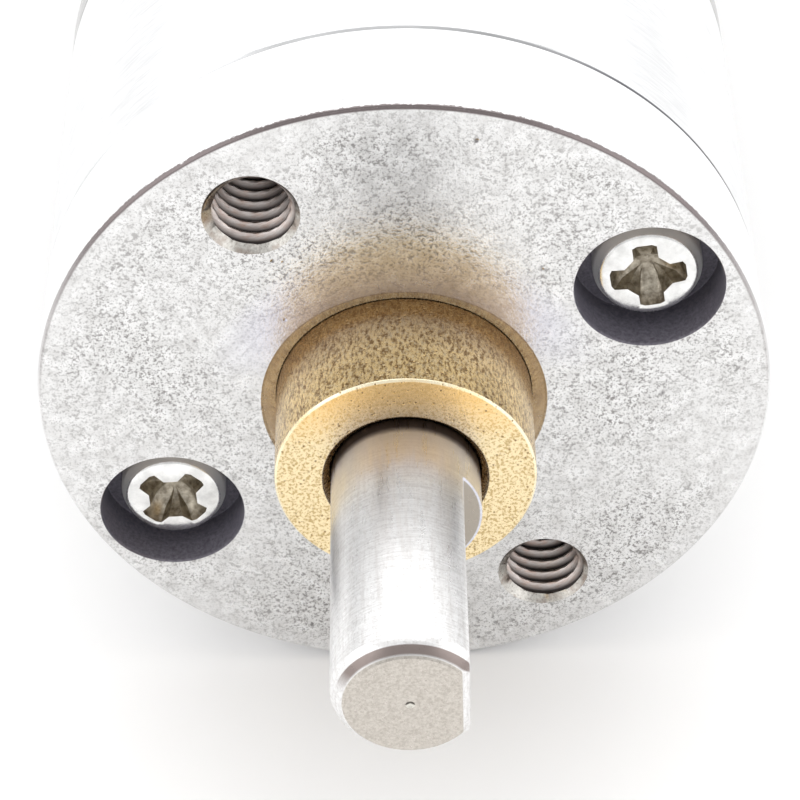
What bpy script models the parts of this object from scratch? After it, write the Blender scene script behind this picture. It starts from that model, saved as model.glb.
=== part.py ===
"""A 20 mm spur gearmotor: a flat-sided brushed can motor behind a round reduction gearbox with a centred D-shaft.

Units are metres. The output shaft turns about the Y axis and the mounting face is the plane y = 0: the shaft
points along -Y, and the gearbox and the motor lie on the +Y side. Seen from the front, X is to the right and Z is
up. A depth is a distance along +Y from the mounting face, and a bearing is an angle in degrees from +X towards +Z.
The motor's pinion drives three compound gears on two pins, and the last of them drives the output gear.
"""

import math

import bmesh
import bpy

MM = 0.001
PRESSED = 0.02 * MM  # gap left between pieces that are pressed together or rest on each other
RUNNING = 0.03 * MM  # radial clearance of a piece that turns on or in another
OVERSHOOT = 0.5 * MM  # how far a cutter runs past the face that it opens

# Gearbox shell: a front plate, a tube and a back plate
SHELL_RADIUS = 10.0 * MM
SHELL_WALL = 0.8 * MM
SHELL_SIDES = 48
PLATE_THICKNESS = 3.5 * MM
EDGE_BREAK = 0.1 * MM
SPIGOT_LENGTH = 0.5 * MM
SPIGOT_RADIUS = SHELL_RADIUS - SHELL_WALL - 0.05 * MM
SPIGOT_WALL = 0.4 * MM
TUBE = (PLATE_THICKNESS + PRESSED, 13.9 * MM)  # front and rear depths, as in each pair below
BACK_PLATE = (TUBE[1] + PRESSED, 15.4 * MM)

# Holes in the face: two screws and two tapped holes on one circle, a quarter turn apart
FACE_CIRCLE = 7.65 * MM
SCREW_BEARINGS = (30.0, 210.0)
TAPPED_BEARINGS = (120.0, 300.0)
TAPPED_RADIUS = 1.03 * MM  # core of an M2.5 thread
TAPPED_MOUTH = 1.25 * MM
COUNTERBORE_RADIUS = 2.0 * MM
COUNTERBORE_DEPTH = 1.5 * MM
SCREW_CLEARANCE_RADIUS = 0.95 * MM
SCREW_SHANK_RADIUS = 0.85 * MM
SCREW_HEAD_RADIUS = 1.5 * MM
SCREW_HEAD_TOP = 0.4 * MM
SCREW_RIM = 0.75 * MM  # depth at which the domed head meets its cylindrical side
SCREW_END = 14.9 * MM
SCREW_RECESS = (1.02 * MM, 0.28 * MM, 0.8 * MM)  # reach and half width of an arm, and depth
SCREW_RECESS_TURNS = (8.0, 47.0)  # how far each cross recess is turned from upright

# Output bushing and shaft
BUSH_RADIUS = 3.5 * MM
BUSH_REACH = 3.1 * MM
BUSH_BORE_MOUTH = 0.2 * MM
BUSH_RELIEF = 0.4 * MM  # width of the bevel that the plate has around the bushing
BUSH_FLANGE_RADIUS = 3.9 * MM
BUSH_FLANGE_REAR = 4.0 * MM
BUSH_SIDES = 36
SHAFT_RADIUS = 2.0 * MM
SHAFT_REACH = 11.3 * MM
SHAFT_FLAT = 1.5 * MM  # distance of the flat from the axis
FLAT_LENGTH = 6.8 * MM
TIP_BEVEL = (0.45 * MM, 0.36 * MM)  # length along the shaft and radial height
TIP_BEVEL_BEND = (0.5, 0.6)  # where the bevel bends, as shares of its length and height
THRUST_WASHER = (4.05 * MM, 4.35 * MM)
THRUST_WASHER_RADIUS = 2.9 * MM
GEAR_SEAT = (4.4 * MM, 6.6 * MM)
GEAR_SEAT_RADIUS = 1.6 * MM
GEAR_SEAT_FLAT = 1.3 * MM

# Gear train
MODULE = 0.3 * MM
PINION_TEETH = 9
WHEEL_TEETH = 24
PRESSURE_ANGLE = math.radians(25)
ADDENDUM = 0.8 * MODULE
DEDENDUM = 1.2 * MODULE
TOOTH_THINNING = 0.03 * MM
CENTRE_DISTANCE = MODULE * (PINION_TEETH + WHEEL_TEETH) / 2
PIN_A_BEARING = 90.0
PIN_B_BEARING = 150.0
PIN_RADIUS = 0.5 * MM
PIN = (2.05 * MM, 14.5 * MM)
SPACER_RADIUS = 0.9 * MM
SPACER_SIDES = 16
OUTPUT_GEAR = (4.45 * MM, 6.5 * MM)
STAGE_3_WHEEL = (6.9 * MM, 8.3 * MM)
STAGE_2_WHEEL = (8.8 * MM, 10.2 * MM)
STAGE_1_WHEEL = (10.7 * MM, 12.1 * MM)
PINION_OVERHANG = 2.05 * MM  # how far a compound gear's pinion stands out in front of its wheel
PINION_OVERHANG_LAST = 2.45 * MM
MOTOR_PINION = (10.5 * MM, 12.7 * MM)
PIN_A_FRONT_SPACER = (PLATE_THICKNESS + PRESSED, 4.4 * MM)
PIN_A_WASHER = (8.35 * MM, 8.6 * MM)
PIN_A_REAR_SPACER = (12.15 * MM, 13.35 * MM)
PIN_B_FRONT_SPACER = (PLATE_THICKNESS + PRESSED, 6.7 * MM)
PIN_B_REAR_SPACER = (10.25 * MM, 13.35 * MM)

# Motor: can, bearings and screws
CAN_RADIUS = 9.9 * MM
CAN_FLAT = 7.7 * MM  # half the width over the two flats
CAN_WALL = 0.9 * MM
CAN = (BACK_PLATE[1] + PRESSED, 42.4 * MM)
CRIMP = (42.15 * MM, 42.6 * MM)
CRIMP_INNER_RADIUS = 8.2 * MM
CRIMP_HALF_ARC = 5.0
CRIMP_BEARINGS = (25.0, 155.0, 205.0, 335.0)
BOSS_RADIUS = 3.0 * MM
BOSS_FRONT = 14.2 * MM
BEARING_RADIUS = 2.2 * MM
FRONT_BEARING = (14.6 * MM, 16.9 * MM)
REAR_BEARING = (41.4 * MM, 43.6 * MM)
MOTOR_SHAFT_RADIUS = 0.75 * MM
MOTOR_SHAFT = (10.45 * MM, 45.0 * MM)
MOTOR_SCREW_OFFSET = 5.5 * MM
MOTOR_SCREW_HEAD_RADIUS = 1.8 * MM
MOTOR_SCREW_SHANK_RADIUS = 0.95 * MM
MOTOR_SCREW = (13.45 * MM, 16.9 * MM)
MOTOR_SCREW_RECESS = (0.9 * MM, 0.22 * MM, 0.7 * MM)
MOTOR_SCREW_TURNS = (20.0, 40.0)

# Motor: magnets, rotor and commutator
MAGNET = (20.5 * MM, 37.0 * MM)
MAGNET_INNER_RADIUS = 6.6 * MM
MAGNET_HALF_ARC = 44.0
CLIP = (25.0 * MM, 32.5 * MM)
CLIP_INNER_RADIUS = 6.3 * MM
CLIP_OUTER_RADIUS = 6.6 * MM
CLIP_HALF_ARC = 43.0
CORE = (21.0 * MM, 36.0 * MM)
CORE_RADIUS = 6.1 * MM
CORE_HUB_RADIUS = 2.3 * MM
POLES = 3
POLE_SHOE_RADIUS = 5.0 * MM  # inside of the pole shoes
POLE_SHOE_HALF_ARC = 50.0
POLE_NECK = 1.2 * MM  # half the width of the neck that a coil is wound on
COIL = (19.3 * MM, 37.6 * MM)
COIL_INNER_RADIUS = 2.5 * MM
COIL_OUTER_RADIUS = 4.9 * MM
COIL_HALF_ARC = 48.0
ROTOR_SPACER = (17.0 * MM, 20.9 * MM)
ROTOR_SPACER_RADIUS = 1.5 * MM
ROTOR_WASHER = (41.05 * MM, 41.3 * MM)
COMMUTATOR_HUB = (37.8 * MM, 41.0 * MM)
COMMUTATOR_HUB_RADIUS = 1.9 * MM
SEGMENT = (38.0 * MM, 40.9 * MM)
SEGMENT_RADIUS = 2.35 * MM
SEGMENT_HALF_ARC = 56.0

# Motor: brushes, terminals and end cap
BRUSH = (38.8 * MM, 40.2 * MM)
BRUSH_INNER = 2.4 * MM
BRUSH_OUTER = 3.4 * MM
BRUSH_HALF_WIDTH = 0.8 * MM
ARM_THICKNESS = 0.2 * MM
ARM_TOP = 3.2 * MM
TERMINAL_X = 6.45 * MM
TERMINAL_THICKNESS = 0.4 * MM
TERMINAL_HALF_WIDTH = 1.1 * MM
TERMINAL_END = 46.4 * MM
SOLDER_HOLE_HALF = 0.5 * MM
SOLDER_HOLE_FROM_END = 1.2 * MM
CAP_FLOOR = (40.95 * MM, 42.1 * MM)
CAP_BOSS_RADIUS = 3.3 * MM
CAP_BOSS_REAR = 44.4 * MM

SHARP_ABOVE = math.radians(32)  # edges that turn more than this stay sharp when shaded


def clear_scene():
    for obj in list(bpy.data.objects):
        bpy.data.objects.remove(obj)


def material(name, colour, roughness, metallic):
    made = bpy.data.materials.new(name)
    made.use_nodes = True
    shader = made.node_tree.nodes["Principled BSDF"]
    shader.inputs["Base Color"].default_value = (*colour, 1.0)
    shader.inputs["Roughness"].default_value = roughness
    shader.inputs["Metallic"].default_value = metallic
    return made


def carrier(name, at=(0.0, 0.0)):
    """An empty on the axis that its pieces turn about, which runs through (x, z) along Y."""
    empty = bpy.data.objects.new(name, None)
    empty.location = (at[0], 0.0, at[1])
    bpy.context.scene.collection.objects.link(empty)
    return empty


# Outlines, as (x, z) points that run anticlockwise


def polar(radius, bearing):
    angle = math.radians(bearing)
    return (radius * math.cos(angle), radius * math.sin(angle))


def rotated(outline, bearing):
    cosine, sine = polar(1.0, bearing)
    return [(x * cosine - z * sine, x * sine + z * cosine) for x, z in outline]


def arc(radius, start, end, steps):
    return [polar(radius, start + (end - start) * i / steps) for i in range(steps + 1)]


def rectangle(x0, x1, z0, z1):
    return [(x0, z0), (x1, z0), (x1, z1), (x0, z1)]


def double_d(radius, flat, steps=14):
    """A circle with two flats, at z = flat and z = -flat."""
    half = math.degrees(math.asin(flat / radius))
    return arc(radius, -half, half, steps) + arc(radius, 180 - half, 180 + half, steps)


def arc_segment(inner, outer, middle, half, steps=10):
    """The part of a ring that reaches half a bearing to each side of the bearing middle."""
    return arc(outer, middle - half, middle + half, steps) + arc(inner, middle + half, middle - half, steps)


def cross(reach, half_width, turn):
    arm = [(reach, -half_width), (reach, half_width), (half_width, half_width)]
    return [point for i in range(4) for point in rotated(arm, turn + 90 * i)]


def involute(angle):
    return math.tan(angle) - angle


def gear_outline(teeth, phase, grow=0.0):
    """An involute gear with a tooth on the bearing phase. A socket for the gear is the same outline, grown."""
    pitch_radius = MODULE * teeth / 2
    base_radius = pitch_radius * math.cos(PRESSURE_ANGLE)
    half_at_pitch = (math.pi * MODULE / 2 - TOOTH_THINNING) / 2 / pitch_radius

    def half_angle(radius):
        opening = math.acos(min(1.0, base_radius / radius))
        return half_at_pitch + involute(PRESSURE_ANGLE) - involute(opening) + grow / radius

    root_radius = pitch_radius - DEDENDUM
    radii = [root_radius, pitch_radius, pitch_radius + ADDENDUM]
    if base_radius - root_radius > ADDENDUM / 2:
        radii.insert(1, base_radius)
    flank = [(radius, half_angle(max(radius, base_radius))) for radius in radii]
    tooth = [(radius, -angle) for radius, angle in flank] + flank[::-1]
    return [
        polar(radius + grow, phase + 360 * i / teeth + math.degrees(angle))
        for i in range(teeth)
        for radius, angle in tooth
    ]


def meshing_phase(line, driver_teeth, driver_phase, teeth):
    """The phase at which a gear meshes with its driver, when the bearing line runs from driver to gear."""
    driver_turn = (line - driver_phase) * driver_teeth / 360
    return line + 180 - (0.5 - driver_turn) * 360 / teeth


# Solids


def prism(outline, depths):
    """The outline, extruded from one depth to the other."""
    bm = bmesh.new()
    face = bm.faces.new([bm.verts.new((x, depths[0], z)) for x, z in outline])
    grown = bmesh.ops.extrude_face_region(bm, geom=[face])["geom"]
    moved = [item for item in grown if isinstance(item, bmesh.types.BMVert)]
    bmesh.ops.translate(bm, verts=moved, vec=(0, depths[1] - depths[0], 0))
    return bm


def turned(profile, sides=24):
    """A profile of (depth, radius) points, spun about Y. One that doesn't start on the axis is closed to a ring."""
    bm = bmesh.new()
    points = [bm.verts.new((radius, depth, 0)) for depth, radius in profile]
    edges = [bm.edges.new(pair) for pair in zip(points, points[1:])]
    if profile[0][1] > 0:
        edges.append(bm.edges.new((points[-1], points[0])))
    bmesh.ops.spin(
        bm, geom=points + edges, cent=(0, 0, 0), axis=(0, -1, 0), angle=math.tau, steps=sides, use_merge=True
    )
    return bm


def rod(radius, depths, sides=24):
    return turned([(depths[0], 0), (depths[0], radius), (depths[1], radius), (depths[1], 0)], sides)


def ring(inner, outer, depths, sides=24):
    return turned([(depths[0], inner), (depths[0], outer), (depths[1], outer), (depths[1], inner)], sides)


def solid(name, bm, parent, at=(0.0, 0.0)):
    """A closed mesh as an object, whose own Y axis stands at (x, z) of its parent."""
    bmesh.ops.remove_doubles(bm, verts=bm.verts, dist=0.0005 * MM)
    bmesh.ops.recalc_face_normals(bm, faces=bm.faces)
    mesh = bpy.data.meshes.new(name)
    bm.to_mesh(mesh)
    bm.free()
    mesh.shade_smooth()
    mesh.set_sharp_from_angle(angle=SHARP_ABOVE)
    obj = bpy.data.objects.new(name, mesh)
    bpy.context.scene.collection.objects.link(obj)
    obj.parent = parent
    obj.location = (at[0], 0.0, at[1])
    return obj


def piece(name, bm, looks, parent, at=(0.0, 0.0)):
    obj = solid(name, bm, parent, at)
    obj.data.materials.append(looks)
    return obj


def combine(obj, operation, label, bm, at=(0.0, 0.0)):
    """Cuts a shape from the piece, or joins it on. The shape stays in the scene as a hidden guide."""
    guide = solid(f"{obj.name}_{label}", bm, obj.parent, at)
    guide.hide_render = True
    guide.display_type = "WIRE"
    modifier = obj.modifiers.new(label, "BOOLEAN")
    modifier.operation = operation
    modifier.object = guide


def cut(obj, label, bm, at=(0.0, 0.0)):
    combine(obj, "DIFFERENCE", label, bm, at)


def join(obj, label, bm, at=(0.0, 0.0)):
    combine(obj, "UNION", label, bm, at)


def through(depths):
    return (depths[0] - OVERSHOOT, depths[1] + OVERSHOOT)


# Gearbox shell


def screw_hole():
    rear = PLATE_THICKNESS + OVERSHOOT / 2
    return turned(
        [
            (-OVERSHOOT, 0),
            (-OVERSHOOT, COUNTERBORE_RADIUS),
            (COUNTERBORE_DEPTH, COUNTERBORE_RADIUS),
            (COUNTERBORE_DEPTH, SCREW_CLEARANCE_RADIUS),
            (rear, SCREW_CLEARANCE_RADIUS),
            (rear, 0),
        ]
    )


def tapped_hole():
    """A hole with a bevelled mouth, whose 45 degree side starts outside the face."""
    rear = PLATE_THICKNESS + OVERSHOOT / 2
    return turned(
        [
            (-OVERSHOOT, 0),
            (-OVERSHOOT, TAPPED_MOUTH + OVERSHOOT),
            (TAPPED_MOUTH - TAPPED_RADIUS, TAPPED_RADIUS),
            (rear, TAPPED_RADIUS),
            (rear, 0),
        ]
    )


def make_front_plate(frame, looks):
    bore = BUSH_RADIUS + PRESSED
    spigot_rear = PLATE_THICKNESS + SPIGOT_LENGTH
    profile = [
        (0, bore + BUSH_RELIEF),
        (0, SHELL_RADIUS - EDGE_BREAK),
        (EDGE_BREAK, SHELL_RADIUS),
        (PLATE_THICKNESS, SHELL_RADIUS),
        (PLATE_THICKNESS, SPIGOT_RADIUS),
        (spigot_rear, SPIGOT_RADIUS),
        (spigot_rear, SPIGOT_RADIUS - SPIGOT_WALL),
        (PLATE_THICKNESS, SPIGOT_RADIUS - SPIGOT_WALL),
        (PLATE_THICKNESS, bore),
        (BUSH_RELIEF / 2, bore),
    ]
    plate = piece("front_plate", turned(profile, SHELL_SIDES), looks, frame)
    for i, bearing in enumerate(SCREW_BEARINGS, 1):
        cut(plate, f"screw_hole_{i}", screw_hole(), polar(FACE_CIRCLE, bearing))
    for i, bearing in enumerate(TAPPED_BEARINGS, 1):
        cut(plate, f"tapped_hole_{i}", tapped_hole(), polar(FACE_CIRCLE, bearing))
    for letter, bearing in (("a", PIN_A_BEARING), ("b", PIN_B_BEARING)):
        hole = rod(PIN_RADIUS + PRESSED, (PIN[0] - PRESSED, PLATE_THICKNESS + OVERSHOOT))
        cut(plate, f"pin_hole_{letter}", hole, polar(CENTRE_DISTANCE, bearing))


def make_housing(frame, looks):
    front, rear = TUBE
    inner = SHELL_RADIUS - SHELL_WALL
    profile = [
        (front, inner),
        (front, SHELL_RADIUS - EDGE_BREAK / 2),
        (front + EDGE_BREAK / 2, SHELL_RADIUS),
        (rear - EDGE_BREAK / 2, SHELL_RADIUS),
        (rear, SHELL_RADIUS - EDGE_BREAK / 2),
        (rear, inner),
    ]
    piece("gearbox_housing", turned(profile, SHELL_SIDES), looks, frame)


def countersink(allowance):
    """The head and shank of a countersunk motor screw, grown by an allowance on the radius."""
    head = MOTOR_SCREW_HEAD_RADIUS + allowance
    shank = MOTOR_SCREW_SHANK_RADIUS + allowance
    front = MOTOR_SCREW[0]
    return front, head, shank, front + head - shank


def make_back_plate(frame, looks):
    front, rear = BACK_PLATE
    spigot_front = front - SPIGOT_LENGTH
    bore = BOSS_RADIUS + 2 * PRESSED
    profile = [
        (spigot_front, bore),
        (spigot_front, SPIGOT_RADIUS),
        (front, SPIGOT_RADIUS),
        (front, SHELL_RADIUS - EDGE_BREAK / 2),
        (front + EDGE_BREAK / 2, SHELL_RADIUS),
        (rear - EDGE_BREAK, SHELL_RADIUS),
        (rear, SHELL_RADIUS - EDGE_BREAK),
        (rear, bore),
    ]
    plate = piece("back_plate", turned(profile, SHELL_SIDES), looks, frame)
    depths = through((spigot_front, rear))
    for i, bearing in enumerate(SCREW_BEARINGS, 1):
        hole = rod(SCREW_SHANK_RADIUS + PRESSED, depths)
        cut(plate, f"long_screw_hole_{i}", hole, polar(FACE_CIRCLE, bearing))
    for letter, bearing in (("a", PIN_A_BEARING), ("b", PIN_B_BEARING)):
        hole = rod(PIN_RADIUS + PRESSED, depths)
        cut(plate, f"pin_hole_{letter}", hole, polar(CENTRE_DISTANCE, bearing))
    screw_front, head, shank, cone_end = countersink(PRESSED)
    profile = [(depths[0], 0), (depths[0], head), (screw_front, head), (cone_end, shank), (depths[1], shank)]
    for i, side in enumerate((1, -1), 1):
        cut(plate, f"motor_screw_hole_{i}", turned([*profile, (depths[1], 0)]), (side * MOTOR_SCREW_OFFSET, 0))


def make_gearbox_screws(frame, looks):
    """Pan-head screws with a cross recess, from the counterbores through the housing to the back plate."""
    seat = COUNTERBORE_DEPTH - PRESSED
    rise = SCREW_RIM - SCREW_HEAD_TOP
    dome = [
        (SCREW_RIM - rise * math.cos(math.radians(angle)), SCREW_HEAD_RADIUS * math.sin(math.radians(angle)))
        for angle in range(0, 91, 15)
    ]
    shank = [(seat, SCREW_HEAD_RADIUS), (seat, SCREW_SHANK_RADIUS), (SCREW_END, SCREW_SHANK_RADIUS), (SCREW_END, 0)]
    reach, half_width, recess_depth = SCREW_RECESS
    recess = (-OVERSHOOT, SCREW_HEAD_TOP + recess_depth)
    for i, (bearing, turn) in enumerate(zip(SCREW_BEARINGS, SCREW_RECESS_TURNS), 1):
        at = polar(FACE_CIRCLE, bearing)
        screw = piece(f"gearbox_screw_{i}", turned(dome + shank), looks, frame, at)
        cut(screw, "recess", prism(cross(reach, half_width, turn), recess), at)


# Output


def make_output_bushing(frame, looks):
    bore = SHAFT_RADIUS + RUNNING
    flange_front = PLATE_THICKNESS + PRESSED
    profile = [
        (-BUSH_REACH, bore + BUSH_BORE_MOUTH),
        (-BUSH_REACH, BUSH_RADIUS - EDGE_BREAK),
        (EDGE_BREAK - BUSH_REACH, BUSH_RADIUS),
        (flange_front, BUSH_RADIUS),
        (flange_front, BUSH_FLANGE_RADIUS),
        (BUSH_FLANGE_REAR, BUSH_FLANGE_RADIUS),
        (BUSH_FLANGE_REAR, bore),
        (BUSH_BORE_MOUTH - BUSH_REACH, bore),
    ]
    piece("output_bushing", turned(profile, BUSH_SIDES), looks, frame)


def make_output_shaft(output, looks):
    """A round shaft with a flat on its +X side, and a seat with two flats that carries the output gear."""
    bevel_length, bevel_height = TIP_BEVEL
    bend_length = bevel_length * TIP_BEVEL_BEND[0]
    bend_height = bevel_height * (1 - TIP_BEVEL_BEND[1])
    profile = [
        (-SHAFT_REACH, 0),
        (-SHAFT_REACH, SHAFT_RADIUS - bevel_height),
        (bend_length - SHAFT_REACH, SHAFT_RADIUS - bend_height),
        (bevel_length - SHAFT_REACH, SHAFT_RADIUS),
        (GEAR_SEAT[0], SHAFT_RADIUS),
        (GEAR_SEAT[0], 0),
    ]
    shaft = piece("output_shaft", turned(profile, BUSH_SIDES), looks, output)
    beyond = SHAFT_REACH + OVERSHOOT
    side = rectangle(SHAFT_FLAT, SHAFT_RADIUS + OVERSHOOT, -SHAFT_RADIUS - OVERSHOOT, SHAFT_RADIUS + OVERSHOOT)
    cut(shaft, "flat", prism(side, (-beyond, FLAT_LENGTH - SHAFT_REACH)))
    seat = prism(double_d(GEAR_SEAT_RADIUS, GEAR_SEAT_FLAT), (GEAR_SEAT[0] - OVERSHOOT, GEAR_SEAT[1]))
    join(shaft, "gear_seat", seat)


def make_output_gear(output, looks, phase):
    gear = piece("output_gear", prism(gear_outline(WHEEL_TEETH, phase), OUTPUT_GEAR), looks, output)
    seat = double_d(GEAR_SEAT_RADIUS + PRESSED, GEAR_SEAT_FLAT + PRESSED)
    cut(gear, "seat", prism(seat, through(OUTPUT_GEAR)))


# Gear train


def make_pins(frame, pin_looks, spacer_looks):
    at_a = polar(CENTRE_DISTANCE, PIN_A_BEARING)
    at_b = polar(CENTRE_DISTANCE, PIN_B_BEARING)
    piece("gear_pin_a", rod(PIN_RADIUS, PIN), pin_looks, frame, at_a)
    piece("gear_pin_b", rod(PIN_RADIUS, PIN), pin_looks, frame, at_b)
    spacers = (
        ("pin_a_front_spacer", at_a, PIN_A_FRONT_SPACER),
        ("pin_a_washer", at_a, PIN_A_WASHER),
        ("pin_a_rear_spacer", at_a, PIN_A_REAR_SPACER),
        ("pin_b_front_spacer", at_b, PIN_B_FRONT_SPACER),
        ("pin_b_rear_spacer", at_b, PIN_B_REAR_SPACER),
    )
    for name, at, depths in spacers:
        spacer = ring(PIN_RADIUS + PRESSED, SPACER_RADIUS, depths, SPACER_SIDES)
        piece(name, spacer, spacer_looks, frame, at)


def make_compound_gear(stage, body, wheel_depths, overhang, phase, wheel_looks, pinion_looks):
    """A pinion that turns on a pin, and a wheel pressed onto the rear of its teeth."""
    wheel = piece(f"{stage}_wheel", prism(gear_outline(WHEEL_TEETH, phase), wheel_depths), wheel_looks, body)
    cut(wheel, "socket", prism(gear_outline(PINION_TEETH, phase, PRESSED), through(wheel_depths)))
    depths = (wheel_depths[0] - overhang, wheel_depths[1])
    pinion = piece(f"{stage}_pinion", prism(gear_outline(PINION_TEETH, phase), depths), pinion_looks, body)
    cut(pinion, "bore", rod(PIN_RADIUS + RUNNING, through(depths)))


def make_gear_train(bodies, wheel_looks, pinion_looks):
    """Each gear's phase follows from the one that drives it, so that the teeth mesh as they stand."""
    a_to_b = (PIN_A_BEARING + PIN_B_BEARING) / 2 + 90
    phase_1 = meshing_phase(PIN_A_BEARING, PINION_TEETH, 0.0, WHEEL_TEETH)
    phase_2 = meshing_phase(a_to_b, PINION_TEETH, phase_1, WHEEL_TEETH)
    phase_3 = meshing_phase(a_to_b + 180, PINION_TEETH, phase_2, WHEEL_TEETH)
    stages = (
        ("stage_1", STAGE_1_WHEEL, PINION_OVERHANG, phase_1),
        ("stage_2", STAGE_2_WHEEL, PINION_OVERHANG, phase_2),
        ("stage_3", STAGE_3_WHEEL, PINION_OVERHANG_LAST, phase_3),
    )
    for stage, depths, overhang, phase in stages:
        make_compound_gear(stage, bodies[stage], depths, overhang, phase, wheel_looks, pinion_looks)
    return meshing_phase(PIN_A_BEARING + 180, PINION_TEETH, phase_3, WHEEL_TEETH)


# Motor


def make_can(frame, looks):
    front, rear = CAN
    can = piece("motor_can", prism(double_d(CAN_RADIUS, CAN_FLAT), CAN), looks, frame)
    join(can, "boss", rod(BOSS_RADIUS, (BOSS_FRONT, front + CAN_WALL / 2)))
    inside = double_d(CAN_RADIUS - CAN_WALL, CAN_FLAT - CAN_WALL)
    cut(can, "inside", prism(inside, (front + CAN_WALL, rear + OVERSHOOT)))
    cut(can, "bearing_seat", rod(BEARING_RADIUS + PRESSED, (FRONT_BEARING[0] - PRESSED, FRONT_BEARING[1])))
    cut(can, "shaft_hole", rod(2 * MOTOR_SHAFT_RADIUS, (BOSS_FRONT - OVERSHOOT, FRONT_BEARING[0] + OVERSHOOT)))
    for i, side in enumerate((1, -1), 1):
        hole = rod(MOTOR_SCREW_SHANK_RADIUS + PRESSED, (front - OVERSHOOT, front + CAN_WALL + OVERSHOOT))
        cut(can, f"screw_hole_{i}", hole, (side * MOTOR_SCREW_OFFSET, 0))
    for i, bearing in enumerate(CRIMP_BEARINGS, 1):
        tab = arc_segment(CRIMP_INNER_RADIUS, CAN_RADIUS - CAN_WALL / 2, bearing, CRIMP_HALF_ARC, 4)
        join(can, f"crimp_{i}", prism(tab, CRIMP))


def make_motor_screws(frame, looks):
    front, head, shank, cone_end = countersink(0.0)
    rear = MOTOR_SCREW[1]
    profile = [(front, 0), (front, head), (cone_end, shank), (rear, shank), (rear, 0)]
    reach, half_width, recess_depth = MOTOR_SCREW_RECESS
    recess = (front - OVERSHOOT, front + recess_depth)
    for i, (side, turn) in enumerate(zip((1, -1), MOTOR_SCREW_TURNS), 1):
        at = (side * MOTOR_SCREW_OFFSET, 0)
        screw = piece(f"motor_screw_{i}", turned(profile), looks, frame, at)
        cut(screw, "recess", prism(cross(reach, half_width, turn), recess), at)


def make_motor_bearings(frame, looks):
    bore = MOTOR_SHAFT_RADIUS + RUNNING
    for name, depths in (("motor_front_bearing", FRONT_BEARING), ("motor_rear_bearing", REAR_BEARING)):
        piece(name, ring(bore, BEARING_RADIUS, depths), looks, frame)


def make_magnets(frame, magnet_looks, clip_looks):
    outer = CAN_RADIUS - CAN_WALL - RUNNING
    for name, bearing in (("magnet_right", 0), ("magnet_left", 180)):
        outline = arc_segment(MAGNET_INNER_RADIUS, outer, bearing, MAGNET_HALF_ARC)
        piece(name, prism(outline, MAGNET), magnet_looks, frame)
    for name, bearing in (("magnet_clip_top", 90), ("magnet_clip_bottom", 270)):
        outline = arc_segment(CLIP_INNER_RADIUS, CLIP_OUTER_RADIUS, bearing, CLIP_HALF_ARC)
        piece(name, prism(outline, CLIP), clip_looks, frame)


def core_outline():
    """Three poles, each a neck that widens into a shoe along the outside."""
    at_hub = math.degrees(math.asin(POLE_NECK / CORE_HUB_RADIUS))
    at_shoe = math.degrees(math.asin(POLE_NECK / POLE_SHOE_RADIUS))
    half = POLE_SHOE_HALF_ARC
    outline = []
    for i in range(POLES):
        middle = 90 + 360 * i / POLES
        outline.append(polar(CORE_HUB_RADIUS, middle - at_hub))
        outline += arc(POLE_SHOE_RADIUS, middle - at_shoe, middle - half, 5)
        outline += arc(CORE_RADIUS, middle - half, middle + half, 12)
        outline += arc(POLE_SHOE_RADIUS, middle + half, middle + at_shoe, 5)
        outline.append(polar(CORE_HUB_RADIUS, middle + at_hub))
    return outline


def make_rotor(rotor, looks):
    piece("motor_shaft", rod(MOTOR_SHAFT_RADIUS, MOTOR_SHAFT), looks["ground_steel"], rotor)
    bore = MOTOR_SHAFT_RADIUS + PRESSED
    pinion = prism(gear_outline(PINION_TEETH, 0.0), MOTOR_PINION)
    pinion = piece("motor_pinion", pinion, looks["motor_pinion"], rotor)
    cut(pinion, "bore", rod(bore, through(MOTOR_PINION)))
    core = piece("armature_core", prism(core_outline(), CORE), looks["core"], rotor)
    cut(core, "bore", rod(bore, through(CORE)))
    for i in range(POLES):
        bearing = 90 + 360 * i / POLES
        outline = arc_segment(COIL_INNER_RADIUS, COIL_OUTER_RADIUS, bearing, COIL_HALF_ARC)
        coil = piece(f"coil_{i + 1}", prism(outline, COIL), looks["copper"], rotor)
        neck = rotated(rectangle(0, CORE_RADIUS, -POLE_NECK - PRESSED, POLE_NECK + PRESSED), bearing)
        cut(coil, "neck", prism(neck, (CORE[0] - PRESSED, CORE[1] + PRESSED)))
    piece("rotor_spacer", ring(bore, ROTOR_SPACER_RADIUS, ROTOR_SPACER), looks["nylon"], rotor)
    piece("rotor_rear_washer", ring(bore, ROTOR_SPACER_RADIUS, ROTOR_WASHER), looks["nylon"], rotor)


def make_commutator(rotor, hub_looks, segment_looks):
    bore = MOTOR_SHAFT_RADIUS + PRESSED
    piece("commutator_hub", ring(bore, COMMUTATOR_HUB_RADIUS, COMMUTATOR_HUB), hub_looks, rotor)
    for i in range(POLES):
        bearing = 90 + 360 * i / POLES
        outline = arc_segment(COMMUTATOR_HUB_RADIUS + PRESSED, SEGMENT_RADIUS, bearing, SEGMENT_HALF_ARC)
        piece(f"commutator_segment_{i + 1}", prism(outline, SEGMENT), segment_looks, rotor)


def arm_outline():
    """A leaf spring bent into an arch, from the terminal over to the back of the brush."""
    inner = BRUSH_OUTER + PRESSED
    outer = TERMINAL_X - PRESSED
    under = ARM_TOP - ARM_THICKNESS
    foot = -TERMINAL_HALF_WIDTH
    return [
        (inner, -BRUSH_HALF_WIDTH),
        (inner + ARM_THICKNESS, -BRUSH_HALF_WIDTH),
        (inner + ARM_THICKNESS, under),
        (outer - ARM_THICKNESS, under),
        (outer - ARM_THICKNESS, foot),
        (outer, foot),
        (outer, ARM_TOP),
        (inner, ARM_TOP),
    ]


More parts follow.
